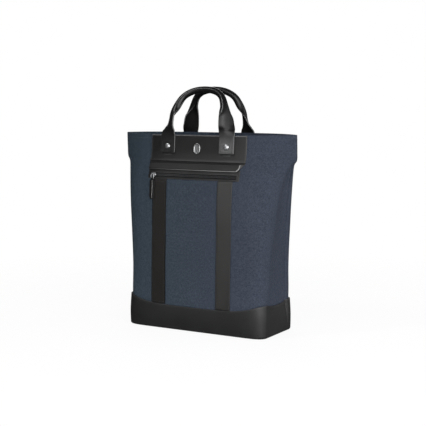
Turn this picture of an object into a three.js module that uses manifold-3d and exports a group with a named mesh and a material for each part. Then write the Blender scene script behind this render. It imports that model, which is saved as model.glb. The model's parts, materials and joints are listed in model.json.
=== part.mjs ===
// A convertible backpack that stands as a tote: an open fabric body in a leather base cup,
// with a leather yoke and zip on the front, two webbing straps and a pair of rolled handles.
// Millimetres. +X is the bag's right in the front view, -Y its front, +Z up.
// The origin is on the ground, under the middle of the rim.
import * as THREE from 'three';
import { mergeVertices } from 'three/addons/utils/BufferGeometryUtils.js';
import Module from 'manifold-3d';

// Fabric body
const rimHeight = 400;
const rimWidth = 398;
const baseWidth = 314;
const baseDepth = 136;
const sideFold = 4;
const seamDepth = 4;
const rimForward = 4.5;
const rimTilt = 2;
const fabricWall = 2;
const pieceGap = 0.3;

// Leather base cup
const bootWall = 2;
const bootFrontHeight = 50;
const bootCornerHeight = 66;
const bootSideHeight = 60;
const bootRounding = 4;

// Front straps
const strapWidth = 33;
const strapSpacing = 152;
const strapWall = 1.8;
const strapLean = 4;
const strapShift = 1.4;

// Yoke with its flap, and the band and zip below it
const yokeWidth = 222;
const yokeWall = 1.8;
const yokeTopDrop = 2.5;
const grooveDrop = 58.5;
const grooveDepth = 1;
const grooveSpread = 2;
const flapLength = 15.5;
const flapLift = 3.2;
const flapCorner = 9;
const flapLeftInset = 3;
const flapRightInset = 9;
const bandDrop = 91.5;
const bandOverlap = 3;
const bandRightEnd = 104;
const bandWall = 1.6;
const zipHeight = 5.5;
const zipWall = 1.3;
const zipEdgeWall = 0.8;
const zipDrop = 84.5;
const zipEndInset = 7;

// Zip slider with its bail and leather tab
const sliderInset = 17;
const sliderWidth = 12;
const sliderHeight = 8.5;
const sliderWall = 3;
const sliderBevel = 0.6;
const sliderCorner = 2.2;
const lugWidth = 2.4;
const lugCheek = 1;
const lugFoot = 1.2;
const lugSink = 0.5;
const bailWire = 1.5;
const bailWidth = 8;
const bailDrop = 9;
const bailCorner = 1.4;
const eyeStandoff = 0.8;
const runningGap = 0.4;
const tabLength = 42.5;
const tabWidth = 11.5;
const tabWall = 2.2;
const tabShoulder = 3;
const pullerLean = 3.5;

// Badge and rivets
const badgeWidth = 15;
const badgeHeight = 21;
const badgeWall = 1.6;
const badgeBevel = 0.6;
const badgeDrop = 30;
const badgeBridge = 0.5;
const rivetDiameter = 11.8;
const rivetRise = 2.3;
const rivetEdge = 0.7;
const rivetDrop = 26;

// Handles
const handleSpread = 136.8;
const handleStrapWidth = 32;
const handleStrapWall = 3;
const handleTabDrop = 39.5;
const handleRise = 95;
const handleMeeting = 19;
const handleBridge = 0.7;

// Horizontal sections of the fabric body from the ground to the rim.
// up is a share of rimHeight, and wide the share of the way from the base's width to the rim's.
// depth and edge are shares of half the base's depth, for the panel's middle and its side edges.
// flat and round are the powers of the panel's curve. fold and seam are shares of sideFold and
// seamDepth, and lean is the share of rimForward.
const sections = [
  { up: 0, wide: 0.03, depth: 0.985, edge: 0.7, flat: 15, round: 0.5, fold: 0, seam: 0, lean: 0 },
  { up: 0.08, wide: 0.01, depth: 1, edge: 0.7, flat: 14, round: 0.5, fold: 0.15, seam: 0.3, lean: 0 },
  { up: 0.16, wide: 0, depth: 1.015, edge: 0.68, flat: 12, round: 0.5, fold: 0.35, seam: 1, lean: 0 },
  { up: 0.225, wide: 0.05, depth: 1.015, edge: 0.62, flat: 9, round: 0.5, fold: 0.4, seam: 0.7, lean: 0 },
  { up: 0.33, wide: 0.07, depth: 1.02, edge: 0.57, flat: 7.5, round: 0.5, fold: 0.45, seam: 0.6, lean: 0 },
  { up: 0.5, wide: 0.2, depth: 1.02, edge: 0.49, flat: 6, round: 0.5, fold: 0.6, seam: 0.6, lean: 0 },
  { up: 0.625, wide: 0.32, depth: 1.01, edge: 0.41, flat: 5, round: 0.5, fold: 0.8, seam: 0.8, lean: 0.1 },
  { up: 0.75, wide: 0.48, depth: 0.975, edge: 0.31, flat: 4.5, round: 0.55, fold: 1, seam: 1, lean: 0.2 },
  { up: 0.812, wide: 0.63, depth: 0.87, edge: 0.22, flat: 4.2, round: 0.65, fold: 1, seam: 1, lean: 0.4 },
  { up: 0.852, wide: 0.79, depth: 0.77, edge: 0.12, flat: 4.2, round: 0.8, fold: 0.7, seam: 0.7, lean: 0.5 },
  { up: 0.874, wide: 0.98, depth: 0.715, edge: 0.045, flat: 4.2, round: 0.95, fold: 0, seam: 0, lean: 0.6 },
  { up: 0.912, wide: 1, depth: 0.65, edge: 0.045, flat: 4.4, round: 1, fold: 0, seam: 0, lean: 0.7 },
  { up: 1, wide: 1, depth: 0.59, edge: 0.045, flat: 4.5, round: 1, fold: 0, seam: 0, lean: 1 },
];

// The upper edge of the base cup round a quarter of the body, from the middle of the front
// to the middle of the side. across is the share of the panel's half width, and 1 and 2 are
// the panel's edge and the middle of the side. rise is the share of the way to the corner's height.
const bootEdge = [
  { across: 0.00, rise: 0.00 },
  { across: 0.45, rise: 0.06 },
  { across: 0.70, rise: 0.28 },
  { across: 0.85, rise: 0.62 },
  { across: 0.95, rise: 0.94 },
  { across: 1.00, rise: 1.00 },
];

// Half of the line along a handle's outer face, from the rim to the top of the arch.
// spread is the share of half the rivets' distance, rise the share of the handle's rise above
// the rim, lean the share of the way from the tab to the place where both handles meet.
// turn is how far the strap's face has turned outwards, in degrees, and curl the share of a
// full turn that the strap is rolled up.
const handleLine = [
  { spread: 1.00, rise: 0.06, lean: 0.01, turn: 14, curl: 0.02 },
  { spread: 1.00, rise: 0.12, lean: 0.03, turn: 29, curl: 0.05 },
  { spread: 0.995, rise: 0.20, lean: 0.055, turn: 42, curl: 0.12 },
  { spread: 0.985, rise: 0.32, lean: 0.12, turn: 49, curl: 0.18 },
  { spread: 0.975, rise: 0.45, lean: 0.22, turn: 58, curl: 0.34 },
  { spread: 0.90, rise: 0.62, lean: 0.42, turn: 73, curl: 0.74 },
  { spread: 0.73, rise: 0.82, lean: 0.70, turn: 88, curl: 0.97 },
  { spread: 0.51, rise: 0.93, lean: 0.88, turn: 90, curl: 0.98 },
  { spread: 0.255, rise: 0.985, lean: 0.97, turn: 90, curl: 0.98 },
  { spread: 0.00, rise: 1.00, lean: 1.00, turn: 90, curl: 0.98 },
];

const wasm = await Module();
wasm.setup();

const look = (color, roughness, metalness) =>
  new THREE.MeshStandardMaterial({ color, roughness, metalness });
const fabric = look(0x3b4452, 0.9, 0);
const leather = look(0x1c1c1d, 0.45, 0);
const webbing = look(0x302e2d, 0.85, 0);
const zipCloth = look(0x151515, 0.8, 0);
const steel = look(0xc4c6c8, 0.25, 1);

const spread = (count) => Array.from({ length: count + 1 }, (_, i) => i / count);

// Value of a table's column at a place along its key column, on a smooth curve through the rows.
function along(table, key, column, at) {
  const last = table.length - 1;
  if (at <= table[0][key]) return table[0][column];
  if (at >= table[last][key]) return table[last][column];
  const i = table.findIndex((row) => row[key] > at) - 1;
  const slope = (k) => {
    const before = table[Math.max(k - 1, 0)];
    const after = table[Math.min(k + 1, last)];
    return (after[column] - before[column]) / (after[key] - before[key]);
  };
  const span = table[i + 1][key] - table[i][key];
  const t = (at - table[i][key]) / span;
  const rise = table[i + 1][column] - table[i][column];
  const ease = t * t * (3 - 2 * t);
  return table[i][column] + rise * ease
    + span * (slope(i) * t * (1 - t) * (1 - t) - slope(i + 1) * t * t * (1 - t));
}

// The body's section at a height.
function sectionAt(z) {
  const value = (column) => along(sections, 'up', column, z / rimHeight);
  return {
    halfWidth: (baseWidth + (rimWidth - baseWidth) * value('wide')) / 2,
    halfDepth: (baseDepth / 2) * value('depth'),
    edge: (baseDepth / 2) * value('edge'),
    flat: value('flat'),
    round: value('round'),
    fold: sideFold * value('fold'),
    seam: seamDepth * value('seam'),
    forward: rimForward * value('lean'),
  };
}

// Distance of a panel's face from the body's middle plane, at a share of its half width.
function panelReach(section, across) {
  const bulge = (1 - Math.min(Math.abs(across), 1) ** section.flat) ** section.round;
  return section.edge + (section.halfDepth - section.edge) * bulge;
}

// Where the seam runs on the side, as a share of the way from the back panel's edge to the
// middle, and how far its crease reaches to each side.
const seamPlace = 0.25;
const seamReach = 0.1;

// The height from which the rim's tilt sets in, as a share of the rim's height.
const tiltStart = 0.75;

// A point of the body's outline. place runs from 0 at the middle of the front over 1 at the
// panel's edge to 2 at the middle of the side. lift moves it outwards.
function bodyPoint(place, z, rightSide, frontSide, lift) {
  const section = sectionAt(z);
  const width = section.halfWidth + lift;
  const across = Math.sin(Math.min(place, 1) * Math.PI / 2);
  const folded = Math.max(place - 1, 0);
  const pinched = frontSide < 0 && folded === seamPlace ? section.seam : 0;
  const x = rightSide * (width * across - section.fold * folded * (2 - folded) - pinched);
  const reach = (panelReach(section, across) + lift) * (1 - folded);
  const y = -section.forward - frontSide * reach;
  const tilt = rimTilt * Math.max(z / rimHeight - tiltStart, 0) / (1 - tiltStart);
  return new THREE.Vector3(x, y, z + tilt * y / (baseDepth / 2));
}

// Places round the whole outline, anticlockwise from the middle of the front.
const panelSteps = 9;
function outlinePlaces() {
  const quarter = spread(panelSteps);
  for (const share of [seamPlace - seamReach, seamPlace, seamPlace + seamReach, 0.65]) {
    quarter.push(1 + share);
  }
  const back = [2, ...quarter.slice(1).reverse()];
  const spot = (right, front) => (place) => ({ place, right, front });
  return [
    ...quarter.map(spot(1, 1)),
    ...back.map(spot(1, -1)),
    ...quarter.map(spot(-1, -1)),
    ...back.map(spot(-1, 1)),
  ];
}
const places = outlinePlaces();

// A closed body from rings of equal length, the first and the last filled in by a fan.
function loft(rings) {
  const count = rings[0].length;
  const points = rings.flat();
  const index = [];
  for (let r = 0; r < rings.length - 1; r++) {
    for (let i = 0; i < count; i++) {
      const a = r * count + i;
      const b = r * count + ((i + 1) % count);
      const [c, d] = [b + count, a + count];
      const falling = points[a].distanceTo(points[c]) < points[b].distanceTo(points[d]);
      index.push(...(falling ? [a, b, c, a, c, d] : [a, b, d, b, c, d]));
    }
  }
  const fill = (ring, start, turned) => {
    const middle = points.length;
    const centre = new THREE.Vector3();
    ring.forEach((p) => centre.addScaledVector(p, 1 / count));
    points.push(centre);
    for (let i = 0; i < count; i++) {
      const next = start + ((i + 1) % count);
      index.push(middle, ...(turned ? [next, start + i] : [start + i, next]));
    }
  };
  fill(rings[0], 0, true);
  fill(rings.at(-1), (rings.length - 1) * count, false);
  const geometry = new THREE.BufferGeometry().setFromPoints(points);
  geometry.setIndex(index);
  return geometry;
}

// The cup's upper edge at a place round the outline.
function bootTop(place) {
  if (place > 1) {
    const folded = place - 1;
    return bootCornerHeight + (bootSideHeight - bootCornerHeight) * folded * (2 - folded);
  }
  const across = Math.sin(place * Math.PI / 2);
  const rise = along(bootEdge, 'across', 'rise', across);
  return bootFrontHeight + (bootCornerHeight - bootFrontHeight) * rise;
}

// A level ring round the body, and one that follows the cup's upper edge at a share of its height.
const levelRing = (z, lift) => places.map((p) => bodyPoint(p.place, z, p.right, p.front, lift));
const cupRing = (share, lift) => places.map((p) => {
  const z = bootWall + (bootTop(p.place) - bootWall) * share;
  return bodyPoint(p.place, z, p.right, p.front, lift);
});
const cupShares = [0.35, 0.7, 1];

// The fabric body stands inside the cup and is open at the rim.
function fabricBody() {
  const floor = bootWall + pieceGap;
  const heights = [0.225, 0.28, 0.36, 0.47, 0.57, 0.66, 0.73, 0.78, 0.815, 0.845, 0.862, 0.876,
    0.91, 0.95, 1].map((share) => share * rimHeight);
  const wall = (lift) => [
    ...cupShares.map((share) => cupRing(share, lift)),
    ...heights.map((z) => levelRing(z, lift)),
  ];
  const outer = [levelRing(floor, 0), ...wall(0)];
  const inner = [levelRing(floor + fabricWall, -fabricWall), ...wall(-fabricWall)];
  return loft([...outer, ...inner.reverse()]);
}

// The leather cup follows the fabric with a small gap and has a rounded lower edge.
function baseBoot() {
  const outside = pieceGap + bootWall;
  const lowerEdge = spread(2).map((share) => {
    const angle = share * Math.PI / 2;
    const inset = bootRounding * (1 - Math.sin(angle));
    return levelRing(bootRounding * (1 - Math.cos(angle)), outside - inset);
  });
  return loft([
    ...lowerEdge,
    ...cupShares.slice(0, -1).map((share) => cupRing(share, outside)),
    cupRing(0.97, outside),
    cupRing(1, outside - bootWall / 3),
    ...cupShares.map((share) => cupRing(share, pieceGap)).reverse(),
    levelRing(bootWall, pieceGap),
  ]);
}

// A point on a panel's outer face by its x and z, moved outwards along the face's normal.
function onPanel(x, z, frontSide, lift) {
  const at = (px, pz) => {
    const section = sectionAt(pz);
    const reach = panelReach(section, px / section.halfWidth);
    return new THREE.Vector3(px, -section.forward - frontSide * reach, pz);
  };
  const step = 1;
  const alongX = at(x + step, z).sub(at(x - step, z));
  const alongZ = at(x, z + step).sub(at(x, z - step));
  const normal = alongX.cross(alongZ).normalize().multiplyScalar(frontSide);
  return { point: at(x, z).addScaledVector(normal, lift), normal };
}

// A closed sheet between two grids of points, the outer face first. Each grid is a list of rows
// from top to bottom, and each row runs from left to right.
function slab(outer, inner) {
  const rows = outer.length;
  const columns = outer[0].length;
  const ring = (grid) => [...grid.flat()];
  const points = [...ring(outer), ...ring(inner)];
  const half = rows * columns;
  const index = [];
  const quad = (a, b, c, d) => index.push(a, b, c, a, c, d);
  const at = (r, c) => r * columns + c;
  for (let r = 0; r < rows - 1; r++) {
    for (let c = 0; c < columns - 1; c++) {
      quad(at(r, c), at(r + 1, c), at(r + 1, c + 1), at(r, c + 1));
      quad(half + at(r, c), half + at(r, c + 1), half + at(r + 1, c + 1), half + at(r + 1, c));
    }
  }
  const border = [];
  for (let c = 0; c < columns - 1; c++) border.push(at(0, c));
  for (let r = 0; r < rows - 1; r++) border.push(at(r, columns - 1));
  for (let c = columns - 1; c > 0; c--) border.push(at(rows - 1, c));
  for (let r = rows - 1; r > 0; r--) border.push(at(r, 0));
  border.forEach((a, i) => {
    const b = border[(i + 1) % border.length];
    quad(a, b, half + b, half + a);
  });
  const geometry = new THREE.BufferGeometry().setFromPoints(points);
  geometry.setIndex(index);
  return geometry;
}

// A sheet that lies on the front panel. spot gives the x, z, lift and wall at a column and row.
function frontSheet(columns, rows, spot) {
  const grid = (raised) => rows.map((row) => columns.map((column) => {
    const s = spot(column, row);
    return onPanel(s.x, s.z, 1, s.lift + (raised ? s.wall : 0)).point;
  }));
  return slab(grid(true), grid(false));
}

// A webbing strap, from the band above it down to the cup's edge.
function frontStrap(side) {
  const columns = spread(3);
  const rows = spread(12);
  const top = rimHeight - bandDrop - pieceGap;
  return frontSheet(columns, rows, (column, row) => {
    const lean = strapLean * row;
    const x = side * strapSpacing / 2 + (column - 0.5) * strapWidth - lean - strapShift;
    const width = sectionAt(bootFrontHeight).halfWidth;
    const place = Math.asin(Math.abs(x) / width) / (Math.PI / 2);
    const foot = bootTop(place) + pieceGap;
    return { x, z: top + (foot - top) * row, lift: pieceGap, wall: strapWall };
  });
}

// The yoke's leather, from the rim over the pressed groove to the edge of the flap.
function yoke() {
  const top = rimHeight - yokeTopDrop;
  const groove = rimHeight - grooveDrop;
  const edge = groove - flapLength;
  const heights = [
    ...[0, 0.32, 0.64, 0.85].map((share) => top + (groove - top) * share),
    ...[-1, 0, 1].map((side) => groove - side * grooveSpread),
    ...[0.4, 0.65, 0.88, 1].map((share) => groove - flapLength * share),
  ];
  return frontSheet(spread(16), heights, (column, z) => {
    const up = Math.max(flapCorner - (z - edge), 0);
    const cut = flapCorner - Math.sqrt(Math.max(flapCorner ** 2 - up ** 2, 0));
    const below = Math.min(Math.max((groove - z) / grooveDepth, 0), 1);
    const left = -yokeWidth / 2 + flapLeftInset * below;
    const right = yokeWidth / 2 - flapRightInset * below - cut;
    const fallen = Math.min(Math.max((groove - z) / flapLength, 0), 1);
    const pressed = Math.max(1 - Math.abs(z - groove) / grooveSpread, 0);
    const thin = z > edge ? 1 : 0.5;
    return {
      x: left + (right - left) * column,
      z,
      lift: pieceGap + flapLift * fallen ** 0.8,
      wall: yokeWall * thin - grooveDepth * pressed,
    };
  });
}

// The flat band below the flap.
function zipBand() {
  const low = rimHeight - bandDrop;
  const high = rimHeight - grooveDrop - flapLength + bandOverlap;
  const left = -yokeWidth / 2 + flapLeftInset;
  return frontSheet(spread(14), spread(3), (column, row) => ({
    x: left + (bandRightEnd - left) * column,
    z: high + (low - high) * row,
    lift: pieceGap,
    wall: bandWall,
  }));
}

const sliderX = -yokeWidth / 2 + sliderInset;
const sliderZ = rimHeight - zipDrop;
const bandFace = pieceGap + bandWall;

// The closed row of teeth, from the slider to near the band's right end.
function zipChain() {
  const left = sliderX + sliderWidth / 2 + sliderBevel + 2 * pieceGap;
  const right = bandRightEnd - zipEndInset;
  return frontSheet(spread(14), [0.5, 0.25, -0.25, -0.5], (column, row) => ({
    x: left + (right - left) * column,
    z: sliderZ + zipHeight * row,
    lift: bandFace + pieceGap,
    wall: Math.abs(row) > 0.3 ? zipEdgeWall : zipWall,
  }));
}

// A three.js solid as a manifold solid, and back.
function toSolid(geometry) {
  const bare = geometry.clone();
  bare.deleteAttribute('normal');
  bare.deleteAttribute('uv');
  const merged = mergeVertices(bare, 1e-4);
  return new wasm.Manifold(new wasm.Mesh({
    numProp: 3,
    vertProperties: new Float32Array(merged.attributes.position.array),
    triVerts: new Uint32Array(merged.index.array),
  }));
}

function fromSolid(solid) {
  const mesh = solid.getMesh();
  const geometry = new THREE.BufferGeometry();
  geometry.setAttribute('position', new THREE.BufferAttribute(mesh.vertProperties, 3));
  geometry.setIndex(new THREE.BufferAttribute(mesh.triVerts, 1));
  return geometry;
}

// An upright outline with half-round or rounded corners, in the XY plane, centred.
function roundedOutline(width, height, radius) {
  const x = width / 2;
  const y = height / 2;
  const shape = new THREE.Shape();
  shape.moveTo(-x + radius, -y);
  shape.lineTo(x - radius, -y);
  shape.absarc(x - radius, -y + radius, radius, -Math.PI / 2, 0);
  shape.lineTo(x, y - radius);
  shape.absarc(x - radius, y - radius, radius, 0, Math.PI / 2);
  shape.lineTo(-x + radius, y);
  shape.absarc(-x + radius, y - radius, radius, Math.PI / 2, Math.PI);
  shape.lineTo(-x, -y + radius);
  shape.absarc(-x + radius, -y + radius, radius, Math.PI, 1.5 * Math.PI);
  return shape;
}

// An outline raised along +Z, with sharp edges.
function extruded(outline, depth, curveSegments) {
  return new THREE.ExtrudeGeometry(outline, { depth, bevelEnabled: false, curveSegments });
}

// Turns a solid made in the XY plane and raised along +Z to stand upright and face the front.
function standUp(geometry) {
  return geometry.rotateX(Math.PI / 2);
}

// Turns a solid drawn with x to the front and y up, and raised along +Z, so that it is raised
// along the bag's width.
function facingSideways(geometry) {
  const front = new THREE.Vector3(0, -1, 0);
  const up = new THREE.Vector3(0, 0, 1);
  return geometry.applyMatrix4(new THREE.Matrix4().makeBasis(front, up, front.clone().cross(up)));
}

// The bail hangs in the lug's eye. This is how far its upper bar lies in front of the slider.
const eyeReach = bailWire / 2 + runningGap + eyeStandoff;

// The slider's body with the lug that holds the bail. Its back lies in the plane y = 0, and
// the eye's axis runs along X at z = 0.
function zipSlider() {
  const body = new THREE.ExtrudeGeometry(roundedOutline(sliderWidth, sliderHeight, sliderCorner), {
    depth: sliderWall - 2 * sliderBevel,
    bevelSize: sliderBevel,
    bevelThickness: sliderBevel,
    bevelSegments: 1,
    curveSegments: 3,
  });
  standUp(body).translate(0, -sliderBevel, 0);
  const eye = bailWire / 2 + runningGap;
  const outer = eye + lugCheek;
  const profile = new THREE.Shape();
  profile.moveTo(-lugSink, outer + lugFoot);
  profile.lineTo(-lugSink, -outer - lugFoot);
  profile.lineTo(eyeReach, -outer);
  profile.absarc(eyeReach, 0, outer, -Math.PI / 2, Math.PI / 2);
  const hole = new THREE.Path();
  hole.absarc(eyeReach, 0, eye, 0, 2 * Math.PI, true);
  profile.holes.push(hole);
  const lug = extruded(profile, lugWidth, 6).translate(0, 0, -lugWidth / 2);
  facingSideways(lug).translate(0, -sliderWall, 0);
  return fromSolid(toSolid(body).add(toSolid(lug)));
}

// The bail is a closed ring of wire. Its upper bar turns in the eye.
function pullerLink() {
  const radius = bailWire / 2;
  const corner = bailCorner;
  const x = bailWidth / 2 - radius;
  const low = -bailDrop;
  const path = new THREE.CurvePath();
  const v = (px, pz) => new THREE.Vector3(px, 0, pz);
  const line = (a, b) => path.add(new THREE.LineCurve3(a, b));
  const bend = (a, b, c) => path.add(new THREE.QuadraticBezierCurve3(a, b, c));
  line(v(0, 0), v(x - corner, 0));
  bend(v(x - corner, 0), v(x, 0), v(x, -corner));
  line(v(x, -corner), v(x, low + corner));
  bend(v(x, low + corner), v(x, low), v(x - corner, low));
  line(v(x - corner, low), v(corner - x, low));
  bend(v(corner - x, low), v(-x, low), v(-x, low + corner));
  line(v(-x, low + corner), v(-x, -corner));
  bend(v(-x, -corner), v(-x, 0), v(corner - x, 0));
  line(v(corner - x, 0), v(0, 0));
  const rings = [];
  const steps = 24;
  const sides = 6;
  for (let i = 0; i < steps; i++) {
    const point = path.getPointAt(i / steps);
    const tangent = path.getTangentAt(i / steps);
    const across = new THREE.Vector3(0, 1, 0);
    const out = new THREE.Vector3().crossVectors(tangent, across).normalize();
    rings.push(spread(sides).slice(1).map((share) => {
      const angle = share * 2 * Math.PI;
      return point.clone()
        .addScaledVector(across, radius * Math.cos(angle))
        .addScaledVector(out, radius * Math.sin(angle));
    }));
  }
  return closedTube(rings);
}

// A ring-shaped body from rings of points that come back to the first one.
function closedTube(rings) {
  const count = rings[0].length;
  const index = [];
  rings.forEach((_, r) => {
    const next = (r + 1) % rings.length;
    for (let i = 0; i < count; i++) {
      const j = (i + 1) % count;
      const [a, b, c, d] = [r * count + i, r * count + j, next * count + j, next * count + i];
      index.push(a, b, c, a, c, d);
    }
  });
  const geometry = new THREE.BufferGeometry().setFromPoints(rings.flat());
  geometry.setIndex(index);
  return geometry;
}

// The leather tab is folded round the bail's lower bar and stitched together below it.
function pullerTab() {
  const inner = bailWire / 2 + pieceGap;
  const outer = inner + tabWall / 2;
  const profile = new THREE.Shape();
  profile.moveTo(-tabWall / 2, -tabLength);
  profile.lineTo(tabWall / 2, -tabLength);
  profile.lineTo(tabWall / 2, -outer * 1.6);
  profile.lineTo(outer, -outer * 0.4);
  profile.absarc(0, 0, outer, 0, Math.PI);
  profile.lineTo(-outer, -outer * 0.4);
  profile.lineTo(-tabWall / 2, -outer * 1.6);
  const hole = new THREE.Path();
  hole.absarc(0, 0, inner, 0, 2 * Math.PI, true);
  profile.holes.push(hole);
  const folded = facingSideways(extruded(profile, tabWidth, 8).translate(0, 0, -tabWidth / 2));
  const neck = bailWidth / 2 - bailWire - pieceGap;
  const half = tabWidth / 2;
  const above = outer + pieceGap;
  const face = new THREE.Shape();
  face.moveTo(-neck, above);
  face.lineTo(-neck, -outer);
  face.lineTo(-half, -outer - tabShoulder);
  face.lineTo(-half, -tabLength + half);
  face.absarc(0, -tabLength + half, half, Math.PI, 2 * Math.PI);
  face.lineTo(half, -outer - tabShoulder);
  face.lineTo(neck, -outer);
  face.lineTo(neck, above);
  const outline = standUp(extruded(face, 4 * outer, 8)).translate(0, 2 * outer, 0);
  return fromSolid(toSolid(folded).intersect(toSolid(outline)));
}

// The blank badge is a low plate with a bevelled edge. Its back lies in the plane y = 0.
function badge() {
  const width = badgeWidth - 2 * badgeBevel;
  const height = badgeHeight - 2 * badgeBevel;
  const plate = new THREE.ExtrudeGeometry(roundedOutline(width, height, width * 0.499), {
    depth: badgeWall - badgeBevel,
    bevelSize: badgeBevel,
    bevelThickness: badgeBevel,
    bevelSegments: 1,
    curveSegments: 5,
  });
  const keep = new THREE.BoxGeometry(2 * badgeWidth, 2 * badgeHeight, badgeWall);
  keep.translate(0, 0, badgeWall / 2);
  return standUp(fromSolid(toSolid(plate).intersect(toSolid(keep))));
}

// A rivet's domed cap. Its back lies in the plane y = 0.
function rivet() {
  const radius = rivetDiameter / 2;
  const dome = rivetRise - rivetEdge;
  const profile = [new THREE.Vector2(0, 0), new THREE.Vector2(radius, 0)];
  for (const share of [0, 0.25, 0.5, 0.75]) {
    const angle = share * Math.PI / 2;
    const out = radius * Math.cos(angle);
    profile.push(new THREE.Vector2(out, rivetEdge + dome * Math.sin(angle)));
  }
  profile.push(new THREE.Vector2(0, rivetRise));
  return new THREE.LatheGeometry(profile, 16).rotateX(Math.PI);
}

// The section of a handle's strap rolled up by a share of a full turn: a bean that is flat when
// open and round when closed. u runs across the strap and n out of its outer face.
const flatCurl = 0.01;
function handleSection(curl) {
  const turn = Math.max(curl, flatCurl) * 2 * Math.PI;
  const radius = handleStrapWidth / turn;
  const openHalf = turn < Math.PI ? radius * Math.sin(turn / 2) : radius;
  const half = openHalf + handleStrapWall / 2 * Math.min(curl * 2, 1);
  const sink = radius * (1 - Math.cos(Math.min(turn / 2, Math.PI)));
  const deep = sink + handleStrapWall;
  const squareness = 1 - Math.min(curl / 0.75, 1);
  const power = 1 - 0.6 * squareness;
  const rounded = (value) => Math.sign(value) * Math.abs(value) ** power;
  return spread(12).slice(1).map((share) => {
    const angle = share * 2 * Math.PI;
    return {
      u: half * rounded(Math.cos(angle)),
      n: (deep / 2) * (rounded(Math.sin(angle)) - 1),
    };
  });
}

// Lift of the tabs' outer faces over the fabric. A tab bridges the curve of what it lies on,
// which is the yoke at the front and the fabric itself at the back.
const backTabFace = pieceGap + handleBridge + handleStrapWall;
const frontTabFace = backTabFace + pieceGap + yokeWall;

// The places along half a handle, from its tab's foot to the top of the arch. They are worked
// out with the outer face to -Y, also for the back handle, which is turned round afterwards.
const tabEndBelowRim = 5;
function handleStations(frontSide) {
  const facingFront = (v) => new THREE.Vector3(v.x, frontSide * v.y, v.z);
  const lift = frontSide > 0 ? frontTabFace : backTabFace;
  const tab = spread(3).map((share) => {
    const z = rimHeight - handleTabDrop + (handleTabDrop - tabEndBelowRim) * share;
    const seat = onPanel(handleSpread / 2, z, frontSide, lift);
    const normal = facingFront(seat.normal);
    const turn = THREE.MathUtils.radToDeg(Math.atan2(normal.x, -normal.y));
    return { point: facingFront(seat.point), turn, curl: flatCurl };
  });
  const foot = tab.at(-1);
  const line = handleLine.map((row) => new THREE.Vector3(
    row.spread * handleSpread / 2,
    foot.point.y - (handleMeeting + foot.point.y) * row.lean,
    rimHeight + row.rise * handleRise,
  ));
  const curve = new THREE.CatmullRomCurve3([foot.point, ...line], false, 'centripetal');
  const twist = [foot, ...handleLine].map((row, i) => ({
    at: i / handleLine.length,
    turn: row.turn,
    curl: row.curl,
  }));
  const arch = spread(16).slice(1).map((share) => ({
    point: curve.getPoint(share),
    turn: along(twist, 'at', 'turn', share),
    curl: along(twist, 'at', 'curl', share),
  }));
  return [...tab, ...arch];
}

// One whole handle: two tabs and the arch between them.
function handle(frontSide) {
  const stations = handleStations(frontSide);
  const rings = stations.map((station, i) => {
    const before = stations[Math.max(i - 1, 0)].point;
    const after = stations[i + 1]?.point ?? before.clone().setX(-before.x);
    const tangent = after.clone().sub(before).normalize();
    const turn = THREE.MathUtils.degToRad(station.turn);
    const outwards = new THREE.Vector3(tangent.z, 0, -tangent.x).multiplyScalar(Math.sin(turn));
    outwards.y -= Math.cos(turn);
    outwards.addScaledVector(tangent, -outwards.dot(tangent)).normalize();
    const across = new THREE.Vector3().crossVectors(outwards, tangent).normalize();
    return handleSection(station.curl).map(({ u, n }) => station.point.clone()
      .addScaledVector(across, u)
      .addScaledVector(outwards, n));
  });
  const mirrored = rings.slice(0, -1).reverse()
    .map((ring) => ring.map((p) => new THREE.Vector3(-p.x, p.y, p.z)));
  return loft([...rings, ...mirrored]);
}

// Adds a named piece to the bag.
const bag = new THREE.Group();
function place(name, geometry, material, holder = bag) {
  const mesh = new THREE.Mesh(geometry, material);
  mesh.name = name;
  holder.add(mesh);
  return mesh;
}

place('fabric_body', fabricBody(), fabric);
place('base_boot', baseBoot(), leather);
place('strap_left', frontStrap(-1), webbing);
place('strap_right', frontStrap(1), webbing);
place('yoke', yoke(), leather);
place('zip_band', zipBand(), leather);
place('zip_chain', zipChain(), zipCloth);

place('handle_front', handle(1), leather);
place('handle_back', handle(-1), leather).rotation.z = Math.PI;

// The slider sits on the band and is turned to lie along it, and its bail and tab hang from it.
const sliderSeat = onPanel(sliderX, sliderZ, 1, bandFace + 2 * pieceGap);
const { x: sliderLeft, y: sliderBack, z: sliderUp } = sliderSeat.normal;
const sliderTurn = Math.atan2(sliderLeft, -sliderBack);
const sliderTilt = Math.asin(sliderUp);
const slide = new THREE.Group();
slide.position.copy(sliderSeat.point);
slide.rotation.set(-sliderTilt, 0, sliderTurn, 'ZXY');
bag.add(slide);
place('zip_slider', zipSlider(), steel, slide);
const puller = new THREE.Group();
puller.position.set(0, -sliderWall - eyeReach, 0);
puller.rotation.x = sliderTilt - THREE.MathUtils.degToRad(pullerLean);
slide.add(puller);
place('puller_link', pullerLink(), steel, puller);
place('puller_tab', pullerTab(), leather, puller).position.z = -bailDrop;

// The badge and the rivets lie on the leather below them, turned to its face.
function placeFlat(name, geometry, material, x, drop, frontSide, lift) {
  const seat = onPanel(x, rimHeight - drop, frontSide, lift);
  const mesh = place(name, geometry, material);
  mesh.position.copy(seat.point);
  mesh.quaternion.setFromUnitVectors(new THREE.Vector3(0, -1, 0), seat.normal);
}

const yokeFace = pieceGap + yokeWall;
placeFlat('badge', badge(), steel, 0, badgeDrop, 1, yokeFace + pieceGap + badgeBridge);
for (const [sideName, side] of [['left', -1], ['right', 1]]) {
  const x = side * handleSpread / 2;
  placeFlat(`rivet_front_${sideName}`, rivet(), steel, x, rivetDrop, 1, frontTabFace + pieceGap);
  placeFlat(`rivet_back_${sideName}`, rivet(), steel, x, rivetDrop, -1, backTabFace + pieceGap);
}

export default bag;
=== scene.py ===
import json
import math

import bpy
import numpy as np
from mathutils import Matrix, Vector, noise


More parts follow.
